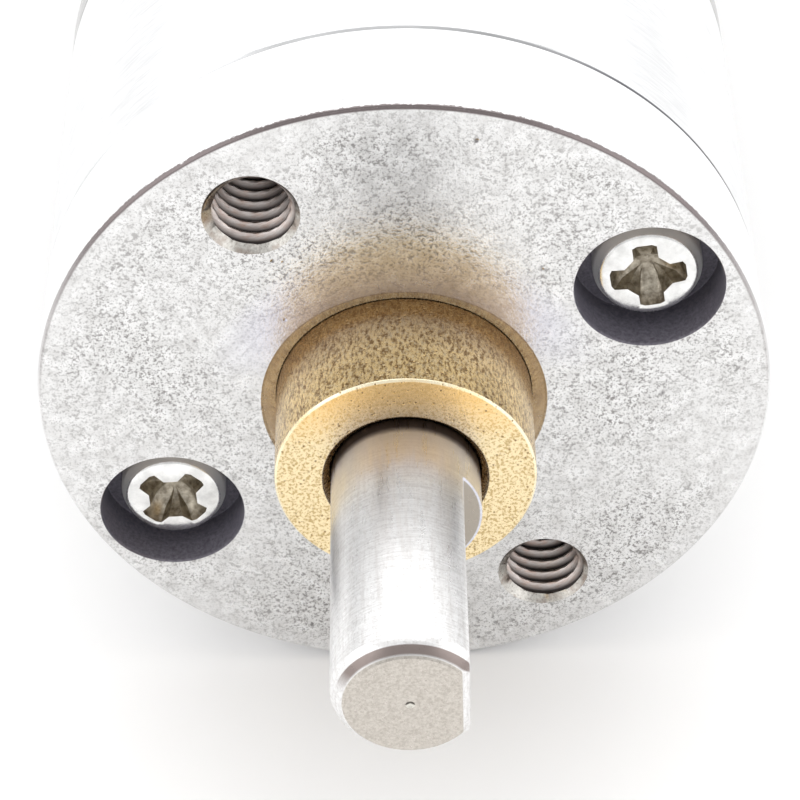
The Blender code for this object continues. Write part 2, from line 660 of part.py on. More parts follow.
def make_brush_gear(frame, brush_looks, spring_looks, terminal_looks):
    """The left side is the right side turned half a turn about the shaft."""
    brush = rectangle(BRUSH_INNER, BRUSH_OUTER, -BRUSH_HALF_WIDTH, BRUSH_HALF_WIDTH)
    terminal_x = (TERMINAL_X, TERMINAL_X + TERMINAL_THICKNESS)
    blade = rectangle(*terminal_x, -TERMINAL_HALF_WIDTH, TERMINAL_HALF_WIDTH)
    hole = rectangle(terminal_x[0] - OVERSHOOT, terminal_x[1] + OVERSHOOT, -SOLDER_HOLE_HALF, SOLDER_HOLE_HALF)
    hole_middle = TERMINAL_END - SOLDER_HOLE_FROM_END
    hole_depths = (hole_middle - SOLDER_HOLE_HALF, hole_middle + SOLDER_HOLE_HALF)
    for side, turn in (("right", 0), ("left", 180)):
        piece(f"brush_{side}", prism(rotated(brush, turn), BRUSH), brush_looks, frame)
        piece(f"brush_arm_{side}", prism(rotated(arm_outline(), turn), BRUSH), spring_looks, frame)
        terminal = prism(rotated(blade, turn), (BRUSH[0], TERMINAL_END))
        terminal = piece(f"terminal_{side}", terminal, terminal_looks, frame)
        cut(terminal, "solder_hole", prism(rotated(hole, turn), hole_depths))


def make_end_cap(frame, looks):
    """The plastic plug that closes the can, with a boss that holds the rear bearing."""
    fit = CAN_WALL + RUNNING
    cap = piece("end_cap", prism(double_d(CAN_RADIUS - fit, CAN_FLAT - fit), CAP_FLOOR), looks, frame)
    join(cap, "boss", rod(CAP_BOSS_RADIUS, (CAP_FLOOR[1] - OVERSHOOT, CAP_BOSS_REAR)))
    seat = (CAP_FLOOR[0] - OVERSHOOT, REAR_BEARING[1] + PRESSED)
    cut(cap, "bearing_seat", rod(BEARING_RADIUS + PRESSED, seat))
    cut(cap, "shaft_hole", rod(2 * MOTOR_SHAFT_RADIUS, (REAR_BEARING[0], CAP_BOSS_REAR + OVERSHOOT)))
    slot = rectangle(
        TERMINAL_X - PRESSED,
        TERMINAL_X + TERMINAL_THICKNESS + PRESSED,
        -TERMINAL_HALF_WIDTH - PRESSED,
        TERMINAL_HALF_WIDTH + PRESSED,
    )
    for side, turn in (("right", 0), ("left", 180)):
        cut(cap, f"slot_{side}", prism(rotated(slot, turn), through(CAP_FLOOR)))


def main():
    clear_scene()
    zinc = material("cast_zinc", (0.62, 0.62, 0.63), 0.5, 0.9)
    tube_steel = material("plated_tube", (0.72, 0.73, 0.75), 0.32, 1.0)
    bronze = material("sintered_bronze", (0.72, 0.55, 0.30), 0.5, 0.9)
    ground_steel = material("ground_steel", (0.68, 0.68, 0.67), 0.25, 1.0)
    screw_steel = material("zinc_plated_screw", (0.66, 0.66, 0.68), 0.3, 1.0)
    brass = material("wheel_brass", (0.80, 0.60, 0.28), 0.3, 1.0)
    pinion_steel = material("pinion_steel", (0.55, 0.55, 0.56), 0.35, 1.0)
    nylon = material("white_nylon", (0.82, 0.80, 0.74), 0.5, 0.0)
    black_plastic = material("black_plastic", (0.03, 0.03, 0.035), 0.5, 0.0)
    ferrite = material("ferrite_magnet", (0.08, 0.08, 0.085), 0.6, 0.2)
    spring_steel = material("spring_steel", (0.60, 0.60, 0.60), 0.3, 1.0)
    spring_bronze = material("spring_bronze", (0.76, 0.52, 0.30), 0.3, 1.0)
    tinned = material("tinned_terminal", (0.78, 0.78, 0.76), 0.35, 1.0)
    carbon = material("carbon_brush", (0.05, 0.05, 0.05), 0.7, 0.1)
    rotor_looks = {
        "ground_steel": ground_steel,
        "motor_pinion": brass,
        "core": material("core_steel", (0.35, 0.36, 0.38), 0.45, 0.9),
        "copper": material("enamelled_copper", (0.62, 0.26, 0.12), 0.35, 0.9),
        "nylon": nylon,
    }

    frame = carrier("frame")
    output = carrier("output_axis")
    rotor = carrier("rotor_axis")
    at_a = polar(CENTRE_DISTANCE, PIN_A_BEARING)
    at_b = polar(CENTRE_DISTANCE, PIN_B_BEARING)
    stages = {
        "stage_1": carrier("stage_1_axis", at_a),
        "stage_2": carrier("stage_2_axis", at_b),
        "stage_3": carrier("stage_3_axis", at_a),
    }

    make_front_plate(frame, zinc)
    make_housing(frame, tube_steel)
    make_back_plate(frame, pinion_steel)
    make_gearbox_screws(frame, screw_steel)
    make_output_bushing(frame, bronze)
    piece(
        "output_thrust_washer",
        ring(SHAFT_RADIUS + RUNNING, THRUST_WASHER_RADIUS, THRUST_WASHER),
        spring_steel,
        frame,
    )
    make_pins(frame, ground_steel, spring_steel)
    output_phase = make_gear_train(stages, brass, pinion_steel)
    make_output_shaft(output, ground_steel)
    make_output_gear(output, pinion_steel, output_phase)

    make_can(frame, tube_steel)
    make_motor_screws(frame, screw_steel)
    make_motor_bearings(frame, bronze)
    make_magnets(frame, ferrite, spring_steel)
    make_rotor(rotor, rotor_looks)
    make_commutator(rotor, black_plastic, rotor_looks["copper"])
    make_brush_gear(frame, carbon, spring_bronze, tinned)
    make_end_cap(frame, black_plastic)


main()
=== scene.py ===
"""The looks of a 20 mm spur gearmotor: fine meshes for the pieces that show, and a finish for each piece.

Pieces are modelled in millimetres, and place() scales them to metres. The output shaft's axis is the Y
axis, the mounting face is the plane y = 0, and the shaft points along -Y. A depth is a distance along +Y,
and a bearing is an angle in degrees from +X towards +Z.
"""

import math

import bmesh
import bpy
from mathutils import Matrix, Vector


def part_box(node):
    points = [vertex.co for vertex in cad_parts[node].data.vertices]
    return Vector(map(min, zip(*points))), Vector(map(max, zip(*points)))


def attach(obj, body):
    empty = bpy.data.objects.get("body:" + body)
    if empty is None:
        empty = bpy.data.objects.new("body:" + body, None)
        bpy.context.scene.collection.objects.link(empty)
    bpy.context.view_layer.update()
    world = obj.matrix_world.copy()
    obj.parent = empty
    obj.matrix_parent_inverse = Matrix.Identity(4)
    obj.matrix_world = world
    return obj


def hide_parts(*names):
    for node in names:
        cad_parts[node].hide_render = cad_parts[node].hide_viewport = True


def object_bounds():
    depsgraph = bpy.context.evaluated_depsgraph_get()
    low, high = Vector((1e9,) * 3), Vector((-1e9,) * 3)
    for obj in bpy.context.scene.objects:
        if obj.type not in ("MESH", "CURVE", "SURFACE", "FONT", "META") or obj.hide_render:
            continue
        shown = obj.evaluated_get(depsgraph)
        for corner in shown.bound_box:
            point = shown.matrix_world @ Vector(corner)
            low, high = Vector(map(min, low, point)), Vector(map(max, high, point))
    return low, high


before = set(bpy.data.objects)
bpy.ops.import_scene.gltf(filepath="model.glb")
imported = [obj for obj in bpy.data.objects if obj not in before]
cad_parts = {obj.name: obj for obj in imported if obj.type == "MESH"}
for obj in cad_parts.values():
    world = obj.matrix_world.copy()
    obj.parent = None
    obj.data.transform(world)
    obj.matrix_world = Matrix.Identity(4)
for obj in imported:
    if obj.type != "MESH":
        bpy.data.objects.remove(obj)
cad_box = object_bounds()

MM = 0.001  # in metres


def box(node):
    """The lowest and highest corners of a CAD node, in millimetres."""
    return tuple(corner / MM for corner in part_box(node))


# Sizes that the frame gives
PLATE_HIGH = box("front_plate")[1]
BUSH_LOW, BUSH_HIGH = box("output_bushing")
SHAFT_LOW, SHAFT_HIGH = box("output_shaft")
HOUSING_LOW, HOUSING_HIGH = box("gearbox_housing")
BACK_LOW, BACK_HIGH = box("back_plate")
CAN_LOW = box("motor_can")[0]
CAP_LOW, CAP_HIGH = box("end_cap")
SHELL_RADIUS = PLATE_HIGH.x
SHAFT_RADIUS = SHAFT_HIGH.z

# Sizes inside those boxes, in millimetres and degrees
PRESSED = 0.02  # the gap between pressed pieces
FACE_CIRCLE = 7.65  # the radius on which the plate's four holes lie
SCREW_BEARINGS = (30.0, 210.0)
SCREW_RECESS_TURNS = (8.0, 47.0)
TAPPED_BEARINGS = (120.0, 300.0)
COUNTERBORE_RADIUS = 2.0
COUNTERBORE_DEPTH = 1.5
FLAT_X = 1.5  # from the shaft's axis to its flat
FLAT_LENGTH = 6.8  # from the shaft's tip
BUSH_RADIUS = 3.5
SPIGOT_RADIUS = 9.15  # the step on a plate that centres it in the tube
PIN_CIRCLE = 4.95  # the radius on which the gear pins lie
PIN_BEARINGS = (90.0, 150.0)
MOTOR_SCREW_X = 5.5
MOTOR_SCREW_HOLE = 0.97
CAN_FRONT = 15.42
CAN_REAR = 42.4
CAN_OUTSIDE = (9.9, 7.7)  # the radius, and the height of the flats
CAN_INSIDE = (9.0, 6.8)
CAP_OUTSIDE = (8.97, 6.77)
BEARING_SEAT = 2.22
SHAFT_HOLE = 1.5

# Sides around a turned piece
SIDES_LARGE = 256
SIDES_BUSH = 192
SIDES_SMALL = 96
SIDES_HOLE = 48
SIDES_MARK = 24

MIX_FIRST, MIX_SECOND, MIX_RESULT = 6, 7, 2  # the colour sockets of a Mix node


# Mesh helpers


def polar(radius, bearing):
    angle = math.radians(bearing)
    return (radius * math.cos(angle), radius * math.sin(angle))


def rotated(outline, bearing):
    cosine, sine = polar(1.0, bearing)
    return [(x * cosine - z * sine, x * sine + z * cosine) for x, z in outline]


def arc(radius, start, end, steps):
    return [polar(radius, start + (end - start) * i / steps) for i in range(steps + 1)]


def rounded(points, radius, steps=4, closed=False):
    """A polyline whose corners are replaced by arcs. A point may carry its own radius as a third value."""
    last = len(points) - 1
    smooth = []
    for i, point in enumerate(points):
        corner = Vector(point[:2])
        size = point[2] if len(point) > 2 else radius
        if size == 0 or (not closed and i in (0, last)):
            smooth.append(tuple(corner))
            continue
        before = Vector(points[i - 1][:2]) - corner
        after = Vector(points[(i + 1) % len(points)][:2]) - corner
        half = before.angle(after) / 2
        reach = min(size / math.tan(half), 0.45 * before.length, 0.45 * after.length)
        start = corner + before.normalized() * reach
        end = corner + after.normalized() * reach
        for k in range(steps + 1):
            t = k / steps
            smooth.append(tuple((1 - t) ** 2 * start + 2 * t * (1 - t) * corner + t**2 * end))
    return smooth


def turned(profile, sides, axis_at=(0.0, 0.0)):
    """A profile of (depth, radius) points, spun about Y. One that starts off the axis is closed to a ring."""
    bm = bmesh.new()
    points = [bm.verts.new((radius, depth, 0)) for depth, radius in profile]
    edges = [bm.edges.new(pair) for pair in zip(points, points[1:])]
    if profile[0][1] > 0:
        edges.append(bm.edges.new((points[-1], points[0])))
    bmesh.ops.spin(
        bm, geom=points + edges, cent=(0, 0, 0), axis=(0, -1, 0), angle=math.tau, steps=sides, use_merge=True
    )
    bmesh.ops.translate(bm, verts=bm.verts, vec=(axis_at[0], 0, axis_at[1]))
    return bm


def loft(rings):
    """Rings of (x, y, z) points with one count, joined in order and closed at both ends."""
    bm = bmesh.new()
    made = [[bm.verts.new(point) for point in ring] for ring in rings]
    count = len(rings[0])
    for lower, upper in zip(made, made[1:]):
        for i in range(count):
            following = (i + 1) % count
            bm.faces.new((lower[i], lower[following], upper[following], upper[i]))
    bm.faces.new(made[0])
    bm.faces.new(made[-1][::-1])
    return bm


def prism(outline, depths):
    return loft([[(x, depth, z) for x, z in outline] for depth in depths])


def as_object(name, bm, looks):
    bmesh.ops.remove_doubles(bm, verts=bm.verts, dist=0.0002)
    bmesh.ops.recalc_face_normals(bm, faces=bm.faces)
    mesh = bpy.data.meshes.new(name)
    bm.to_mesh(mesh)
    bm.free()
    mesh.materials.append(looks)
    obj = bpy.data.objects.new(name, mesh)
    bpy.context.scene.collection.objects.link(obj)
    return obj


def apply_modifiers(obj):
    bpy.context.view_layer.update()
    graph = bpy.context.evaluated_depsgraph_get()
    mesh = bpy.data.meshes.new_from_object(obj.evaluated_get(graph), depsgraph=graph)
    obj.modifiers.clear()
    obj.data = mesh


def combine(obj, operation, tools):
    """Cuts tools from the object or joins them on. A cut face keeps its tool's material."""
    for tool in tools:
        modifier = obj.modifiers.new("tool", "BOOLEAN")
        modifier.operation = operation
        modifier.solver = "EXACT"
        modifier.material_mode = "TRANSFER"
        modifier.object = tool
    apply_modifiers(obj)
    for tool in tools:
        bpy.data.objects.remove(tool)


def soften_edges(obj, width, angle):
    modifier = obj.modifiers.new("edge", "BEVEL")
    modifier.width = width
    modifier.segments = 2
    modifier.limit_method = "ANGLE"
    modifier.angle_limit = math.radians(angle)
    modifier.harden_normals = False
    apply_modifiers(obj)


def clean(obj):
    """Removes slivers, and merges the faces that lie in one plane, so that flat faces shade flat."""
    bm = bmesh.new()
    bm.from_mesh(obj.data)
    bmesh.ops.remove_doubles(bm, verts=bm.verts, dist=0.0003)
    bmesh.ops.dissolve_degenerate(bm, edges=bm.edges, dist=0.0003)
    bmesh.ops.dissolve_limit(
        bm, angle_limit=math.radians(0.05), verts=bm.verts, edges=bm.edges, delimit={"MATERIAL"}
    )
    bm.to_mesh(obj.data)
    bm.free()


def place(obj, body, slot, *nodes):
    """Scales a finished piece to metres and shades it. It rides on a body and stands for CAD nodes."""
    clean(obj)
    obj.data.transform(Matrix.Scale(MM, 4))
    obj.data.shade_smooth()
    obj.data.set_sharp_from_angle(angle=math.radians(28))
    weighted = obj.modifiers.new("weighted", "WEIGHTED_NORMAL")
    weighted.keep_sharp = True
    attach(obj, body)
    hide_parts(*nodes)


# Materials


class Finish:
    """A material under construction: a Principled BSDF and short calls for the nodes that feed it."""

    def __init__(self, name, metallic, roughness):
        self.material = bpy.data.materials.new(name)
        self.material.use_nodes = True
        self.tree = self.material.node_tree
        self.shader = self.tree.nodes["Principled BSDF"]
        self.shader.inputs["Metallic"].default_value = metallic
        self.shader.inputs["Roughness"].default_value = roughness
        self.coordinates = self.tree.nodes.new("ShaderNodeTexCoord").outputs["Object"]

    def feed(self, socket, value):
        if isinstance(value, bpy.types.NodeSocket):
            self.tree.links.new(value, socket)
        elif value is not None:
            socket.default_value = value

    def math(self, operation, a, b=None):
        node = self.tree.nodes.new("ShaderNodeMath")
        node.operation = operation
        self.feed(node.inputs[0], a)
        self.feed(node.inputs[1], b)
        return node.outputs[0]

    def times(self, a, b):
        return self.math("MULTIPLY", a, b)

    def stretched(self, scale):
        """Object coordinates, scaled differently along X, Y and Z."""
        node = self.tree.nodes.new("ShaderNodeMapping")
        self.feed(node.inputs["Vector"], self.coordinates)
        node.inputs["Scale"].default_value = scale
        return node.outputs[0]

    def axes(self):
        node = self.tree.nodes.new("ShaderNodeSeparateXYZ")
        self.feed(node.inputs[0], self.coordinates)
        return node.outputs

    def radius(self, at=(0.0, 0.0)):
        """Distance from the line along Y that passes through at, which is in metres."""
        x, _, z = self.axes()
        x = self.math("SUBTRACT", x, at[0])
        z = self.math("SUBTRACT", z, at[1])
        return self.math("SQRT", self.math("ADD", self.times(x, x), self.times(z, z)))

    def front(self, depth):
        """1 in front of a depth in millimetres and 0 behind it."""
        _, y, _ = self.axes()
        return self.ramp(y, (depth + 0.01) * MM, (depth - 0.01) * MM)

    def noise(self, size, detail=3.0, roughness=0.55, vector=None, seed=0.0):
        """Noise whose lumps are about one size across."""
        node = self.tree.nodes.new("ShaderNodeTexNoise")
        node.noise_dimensions = "4D"
        self.feed(node.inputs["Vector"], vector or self.coordinates)
        node.inputs["W"].default_value = seed
        node.inputs["Scale"].default_value = 1.0 / size
        node.inputs["Detail"].default_value = detail
        node.inputs["Roughness"].default_value = roughness
        return node.outputs[0]

    def cells(self, size, seed=0.0):
        """Distance to the nearest of many scattered points, in units of their spacing."""
        node = self.tree.nodes.new("ShaderNodeTexVoronoi")
        node.voronoi_dimensions = "4D"
        self.feed(node.inputs["Vector"], self.coordinates)
        node.inputs["W"].default_value = seed
        node.inputs["Scale"].default_value = 1.0 / size
        return node.outputs["Distance"]

    def ramp(self, value, low, high, start=0.0, end=1.0):
        """Maps low to start and high to end, and stays there beyond."""
        node = self.tree.nodes.new("ShaderNodeMapRange")
        self.feed(node.inputs["Value"], value)
        for label, number in zip(("From Min", "From Max", "To Min", "To Max"), (low, high, start, end)):
            self.feed(node.inputs[label], number)
        return node.outputs[0]

    def blend(self, share, first, second):
        node = self.tree.nodes.new("ShaderNodeMix")
        node.data_type = "RGBA"
        self.feed(node.inputs["Factor"], share)
        for index, colour in ((MIX_FIRST, first), (MIX_SECOND, second)):
            self.feed(node.inputs[index], (*colour, 1.0) if isinstance(colour, tuple) else colour)
        return node.outputs[MIX_RESULT]

    def colour(self, value):
        self.feed(self.shader.inputs["Base Color"], value)

    def roughness(self, value):
        self.feed(self.shader.inputs["Roughness"], value)

    def bump(self, *layers):
        """Layers of (height, distance in metres), each on top of the one before."""
        normal = None
        for height, distance in layers:
            node = self.tree.nodes.new("ShaderNodeBump")
            node.inputs["Strength"].default_value = 1.0
            node.inputs["Distance"].default_value = distance
            self.feed(node.inputs["Height"], height)
            if normal:
                self.feed(node.inputs["Normal"], normal)
            normal = node.outputs[0]
        self.feed(self.shader.inputs["Normal"], normal)


def cast_zinc():
    """Die casting: a speckled face with pits and scratches, a bluish grey painted reflection of the shaft
    above the bushing, a smooth turned side, and a ragged dark line of painted shade along the top of the
    front edge."""
    f = Finish("cast_zinc", 0.95, 0.25)
    mottle = f.noise(0.5 * MM, 4.0, 0.6)
    speckle = f.noise(0.12 * MM, 2.0, 0.75, seed=2.0)
    grains = f.noise(0.075 * MM, 1.0, 0.6, seed=9.0)
    patches = f.noise(3.6 * MM, 2.0, 0.5, seed=5.0)
    strength = f.ramp(patches, 0.35, 0.62, 0.45, 1.0)
    face = f.blend(f.ramp(mottle, 0.36, 0.62), (0.69, 0.685, 0.68), (0.86, 0.86, 0.86))
    strength = f.times(strength, f.ramp(f.radius(), 9.1 * MM, 9.7 * MM, 1.0, 0.55))
    fine_dark = f.times(f.ramp(grains, 0.46, 0.35), 0.8)
    dark = f.math("MAXIMUM", f.ramp(speckle, 0.48, 0.37), fine_dark)
    face = f.blend(f.times(dark, strength), face, (0.29, 0.28, 0.275))
    pits = f.ramp(f.cells(0.55 * MM, seed=1.0), 0.14, 0.07)
    pits = f.times(pits, f.ramp(f.noise(2.6 * MM, 2.0, 0.5, seed=13.0), 0.47, 0.56))
    face = f.blend(pits, face, (0.2, 0.19, 0.19))
    scratches = f.noise(0.1 * MM, 2.0, 0.5, vector=f.stretched((1.0, 1.0, 0.07)), seed=7.0)
    face = f.blend(f.ramp(scratches, 0.66, 0.72, 0.0, 0.5), face, (0.95, 0.95, 0.95))
    _, y, z = f.axes()
    # Painted reflection: a bluish grey tint on the face above the bushing, where the shaft is mirrored.
    painted_reflection = f.times(f.ramp(f.radius(), 5.6 * MM, 3.9 * MM), f.ramp(z, 1.0 * MM, 3.2 * MM, 0.0, 0.75))
    face = f.blend(painted_reflection, face, (0.62, 0.62, 0.8))
    marks = f.noise(0.06 * MM, 3.0, 0.6, vector=f.stretched((0.08, 1.0, 0.08)), seed=11.0)
    side = f.blend(f.ramp(marks, 0.35, 0.62), (0.82, 0.82, 0.83), (0.93, 0.93, 0.93))
    side = f.blend(f.ramp(mottle, 0.62, 0.72, 0.0, 0.35), side, (0.5, 0.46, 0.47))
    on_face = f.front(0.03)
    base = f.blend(on_face, side, face)
    # Painted shade: a ragged dark line along the front edge of the rim, strongest at the top.
    ragged = f.math("ADD", y, f.times(f.math("SUBTRACT", speckle, 0.5), 0.2 * MM))
    rim = f.ramp(f.radius(), (SHELL_RADIUS - 0.12) * MM, (SHELL_RADIUS - 0.08) * MM)
    edge = f.times(rim, f.ramp(ragged, 0.14 * MM, 0.09 * MM))
    edge = f.times(edge, f.ramp(z, 0.0, 6.5 * MM, 0.1, 1.0))
    f.colour(f.blend(edge, base, (0.21, 0.18, 0.18)))
    f.roughness(f.ramp(mottle, 0.3, 0.7, 0.2, 0.29))
    f.bump((f.times(speckle, on_face), 0.008 * MM), (f.times(pits, -1.0), 0.02 * MM))
    return f.material


def dark_zinc(name, at):
    """The casting inside a counterbore, painted as shade: dark low in the hole, and paler metal high on the
    wall.
    """
    f = Finish(name, 0.2, 0.42)
    _, _, z = f.axes()
    height = f.math("SUBTRACT", z, at[1] * MM)
    fine = f.noise(0.1 * MM, 4.0, 0.7)
    streaks = f.noise(0.3 * MM, 3.0, 0.65, vector=f.stretched((1.0, 0.12, 1.0)), seed=3.0)
    painted_shade = f.blend(f.ramp(fine, 0.35, 0.65), (0.105, 0.097, 0.125), (0.21, 0.2, 0.235))
    cast = f.blend(f.ramp(streaks, 0.36, 0.62), (0.3, 0.25, 0.22), (0.66, 0.57, 0.52))
    # Painted shade: the counterbore is dark low down and paler high on its wall.
    f.colour(f.blend(f.ramp(height, 0.25 * MM, 1.4 * MM), painted_shade, cast))
    f.roughness(f.ramp(fine, 0.3, 0.7, 0.34, 0.5))
    f.bump((fine, 0.005 * MM))
    return f.material


def tapped_zinc(name, at):
    """Cut thread: drag lines along the cut, brown-grey crests, and roots painted near black as shade."""
    f = Finish(name, 0.85, 0.3)
    drag = f.noise(0.3 * MM, 4.0, 0.65, vector=f.stretched((1.0, 10.0, 1.0)))
    stain = f.noise(0.4 * MM, 3.0, 0.6, seed=4.0)
    crest = f.blend(f.ramp(stain, 0.4, 0.6), (0.6, 0.53, 0.5), (0.64, 0.48, 0.41))
    crest = f.blend(f.ramp(drag, 0.4, 0.65), crest, (0.86, 0.8, 0.77))
    # Painted shade: the thread's roots, out beyond the crests, are near black.
    out = f.radius(tuple(c * MM for c in at))
    f.colour(f.blend(f.ramp(out, 1.06 * MM, 1.2 * MM), crest, (0.05, 0.042, 0.04)))
    f.roughness(f.ramp(drag, 0.3, 0.7, 0.26, 0.42))
    f.bump((drag, 0.004 * MM))
    return f.material


def bright_cut_zinc():
    """The bevel at a hole's mouth, cut bright, with a brown stain where oil has run."""
    f = Finish("bright_cut_zinc", 1.0, 0.3)
    fine = f.noise(0.08 * MM, 3.0, 0.6)
    stain = f.noise(0.35 * MM, 2.0, 0.5, seed=2.0)
    cut = f.blend(f.ramp(fine, 0.35, 0.65), (0.42, 0.4, 0.37), (0.68, 0.66, 0.62))
    f.colour(f.blend(f.ramp(stain, 0.45, 0.6, 0.0, 0.8), cut, (0.36, 0.3, 0.26)))
    f.roughness(f.ramp(fine, 0.3, 0.7, 0.24, 0.38))
    f.bump((fine, 0.002 * MM))
    return f.material


def sintered_bronze(name, dark, light, worn):
    """Pressed bronze powder with dark oily pores: brown near the plate, and paler on its front."""
    f = Finish(name, 1.0, 0.3)
    grain = f.noise(0.08 * MM, 2.0, 0.75)
    broad = f.noise(1.1 * MM, 3.0, 0.55, seed=3.0)
    axial = f.noise(0.08 * MM, 3.0, 0.7, vector=f.stretched((1.0, 0.4, 1.0)), seed=6.0)
    pores = f.ramp(f.cells(0.13 * MM, seed=1.0), 0.3, 0.14)
    side = f.blend(f.ramp(axial, 0.43, 0.54), dark, light)
    side = f.blend(f.ramp(grain, 0.5, 0.62, 0.0, 0.7), side, worn)
    _, y, z = f.axes()
    wavering = f.math("ADD", y, f.times(broad, 0.6 * MM))
    side = f.blend(f.ramp(wavering, -1.3 * MM, 0.1 * MM, 0.0, 0.75), side, (0.27, 0.165, 0.08))
    face = f.blend(f.ramp(grain, 0.41, 0.52), tuple(0.57 * c for c in light), worn)
    # Painted light: the top of the front face is a deeper, warmer gold than the rest.
    face = f.blend(f.ramp(z, 1.3 * MM, 2.9 * MM, 0.0, 0.8), face, (0.97, 0.61, 0.22))
    base = f.blend(f.front(BUSH_LOW.y + 0.045), side, face)
    # Painted highlight: a bright line along the front rim of the bush.
    edge = f.ramp(f.radius(), (BUSH_RADIUS - 0.07) * MM, (BUSH_RADIUS - 0.05) * MM)
    edge = f.times(f.front(BUSH_LOW.y + 0.08), edge)
    base = f.blend(f.times(edge, f.ramp(broad, 0.35, 0.55, 0.4, 1.0)), base, (1.0, 0.9, 0.66))
    share = f.times(pores, f.ramp(broad, 0.36, 0.6, 0.55, 1.0))
    f.colour(f.blend(share, base, (0.3, 0.18, 0.07)))
    f.roughness(f.ramp(grain, 0.3, 0.7, 0.2, 0.34))
    f.bump((grain, 0.008 * MM), (f.times(pores, -1.0), 0.01 * MM))
    return f.material


def ground_steel():
    """Ground steel: fine rings and short marks along the axis. The output shaft's tip is turned and duller.
    Painted shade darkens the upper half of its centre mark and the shaft from the bush's mouth inwards, a
    painted dark reflection the top of its bevel, and a painted blue tint near the bush cancels the bush's
    golden reflection."""
    f = Finish("ground_steel", 1.0, 0.3)
    rings = f.noise(0.05 * MM, 3.0, 0.6, vector=f.stretched((0.06, 1.0, 0.06)))
    fine = f.noise(0.07 * MM, 3.0, 0.7, seed=2.0)
    along = f.noise(0.16 * MM, 3.0, 0.65, vector=f.stretched((1.0, 0.1, 1.0)), seed=4.0)
    base = f.blend(f.ramp(rings, 0.35, 0.65), (0.74, 0.735, 0.73), (0.92, 0.92, 0.92))
    base = f.blend(f.ramp(fine, 0.5, 0.64, 0.0, 0.4), base, (0.46, 0.44, 0.43))
    base = f.blend(f.ramp(along, 0.48, 0.64, 0.0, 0.3), base, (0.52, 0.49, 0.47))
    turned_rings = f.math("SINE", f.times(f.radius(), math.tau / (0.14 * MM)))
    end = f.blend(f.ramp(fine, 0.38, 0.6), (0.46, 0.425, 0.38), (0.62, 0.58, 0.53))
    end = f.blend(f.ramp(turned_rings, 0.0, 1.0, 0.0, 0.14), end, (0.68, 0.645, 0.59))
    base = f.blend(f.front(SHAFT_LOW.y + 0.05), base, end)
    x, y, z = f.axes()
    # Painted shade: the centre mark is dark in its upper half.
    mark = f.times(f.ramp(f.radius(), 0.13 * MM, 0.11 * MM), f.front(SHAFT_LOW.y + 0.1))
    painted_mark_shade = f.blend(f.ramp(z, -0.02 * MM, 0.02 * MM), (0.7, 0.68, 0.62), (0.08, 0.07, 0.06))
    base = f.blend(mark, base, painted_mark_shade)
    # Painted dark reflection: the top of the tip's bevel.
    bevel = f.times(f.front(SHAFT_LOW.y + 0.26), f.ramp(f.radius(), 1.7 * MM, 1.74 * MM))
    base = f.blend(f.times(bevel, f.ramp(z, 0.4 * MM, 1.0 * MM)), base, (0.28, 0.235, 0.22))
    # Painted light: a blue tint near the bush cancels the bush's golden reflection on the shaft.
    near_bush = f.ramp(y, -5.2 * MM, -3.6 * MM)
    base = f.blend(f.times(near_bush, 0.85), base, (0.48, 0.51, 0.7))
    # Painted shade: the shaft is dark from just outside the bush's mouth inwards.
    base = f.blend(f.ramp(y, -3.45 * MM, -3.2 * MM, 0.0, 0.85), base, (0.07, 0.05, 0.045))
    step = SHAFT_LOW.y + FLAT_LENGTH
    on_step = f.times(f.front(step + 0.035), f.ramp(y, (step - 0.04) * MM, (step - 0.02) * MM))
    on_step = f.times(on_step, f.ramp(x, FLAT_X * MM, (FLAT_X + 0.03) * MM))
    on_step = f.times(on_step, f.ramp(f.radius(), 1.95 * MM, 1.93 * MM))
    f.colour(f.blend(on_step, base, (0.4, 0.36, 0.31)))
    f.roughness(f.ramp(along, 0.35, 0.65, 0.26, 0.36))
    f.bump((rings, 0.0015 * MM), (fine, 0.0015 * MM))
    return f.material


def bright_plate(name, light, dark, roughness=0.16, lump=0.5, worn_behind=None):
    """Bright metal with faint tool marks. It is duller behind the depth worn_behind."""
    f = Finish(name, 1.0, roughness)
    cloud = f.noise(lump * MM, 4.0, 0.6)
    fine = f.noise(0.06 * MM, 2.0, 0.6, seed=3.0)
    base = f.blend(f.ramp(cloud, 0.35, 0.65), dark, light)
    shine = f.ramp(fine, 0.3, 0.7, roughness * 0.7, roughness * 1.5)
    if worn_behind is not None:
        _, y, _ = f.axes()
        worn = f.ramp(y, worn_behind * MM, (worn_behind + 0.1) * MM)
        base = f.blend(worn, base, (0.74, 0.75, 0.74))
        shine = f.math("ADD", shine, f.times(worn, 0.36))
        f.feed(f.shader.inputs["Metallic"], f.ramp(worn, 0.0, 1.0, 1.0, 0.6))
    f.colour(base)
    f.roughness(shine)
    f.bump((fine, 0.001 * MM))
    return f.material


def brushed(name, light, dark, roughness=0.3, grain=(0.08, 1.0, 0.08), joint=None):
    """Metal with a grain, by default the fine rings of something turned. A dark line runs at a joint's depth,
    fainter towards -X.
    """
    f = Finish(name, 1.0, roughness)
    lines = f.noise(0.07 * MM, 3.0, 0.65, vector=f.stretched(grain))
    cloud = f.noise(2.2 * MM, 3.0, 0.55, seed=2.0)
    base = f.blend(f.ramp(lines, 0.35, 0.65), dark, light)
    base = f.blend(f.ramp(cloud, 0.45, 0.65, 0.0, 0.3), base, dark)
    if joint is not None:
        x, y, _ = f.axes()
        joint_line = f.ramp(y, (joint + 0.065) * MM, (joint + 0.04) * MM)
        joint_line = f.times(joint_line, f.ramp(x, 0.5 * MM, 6.0 * MM, 0.12, 1.0))
        base = f.blend(joint_line, base, (0.12, 0.12, 0.13))
    f.colour(base)
    f.roughness(f.ramp(cloud, 0.35, 0.65, roughness * 0.8, roughness * 1.25))
    f.bump((lines, 0.002 * MM))
    return f.material


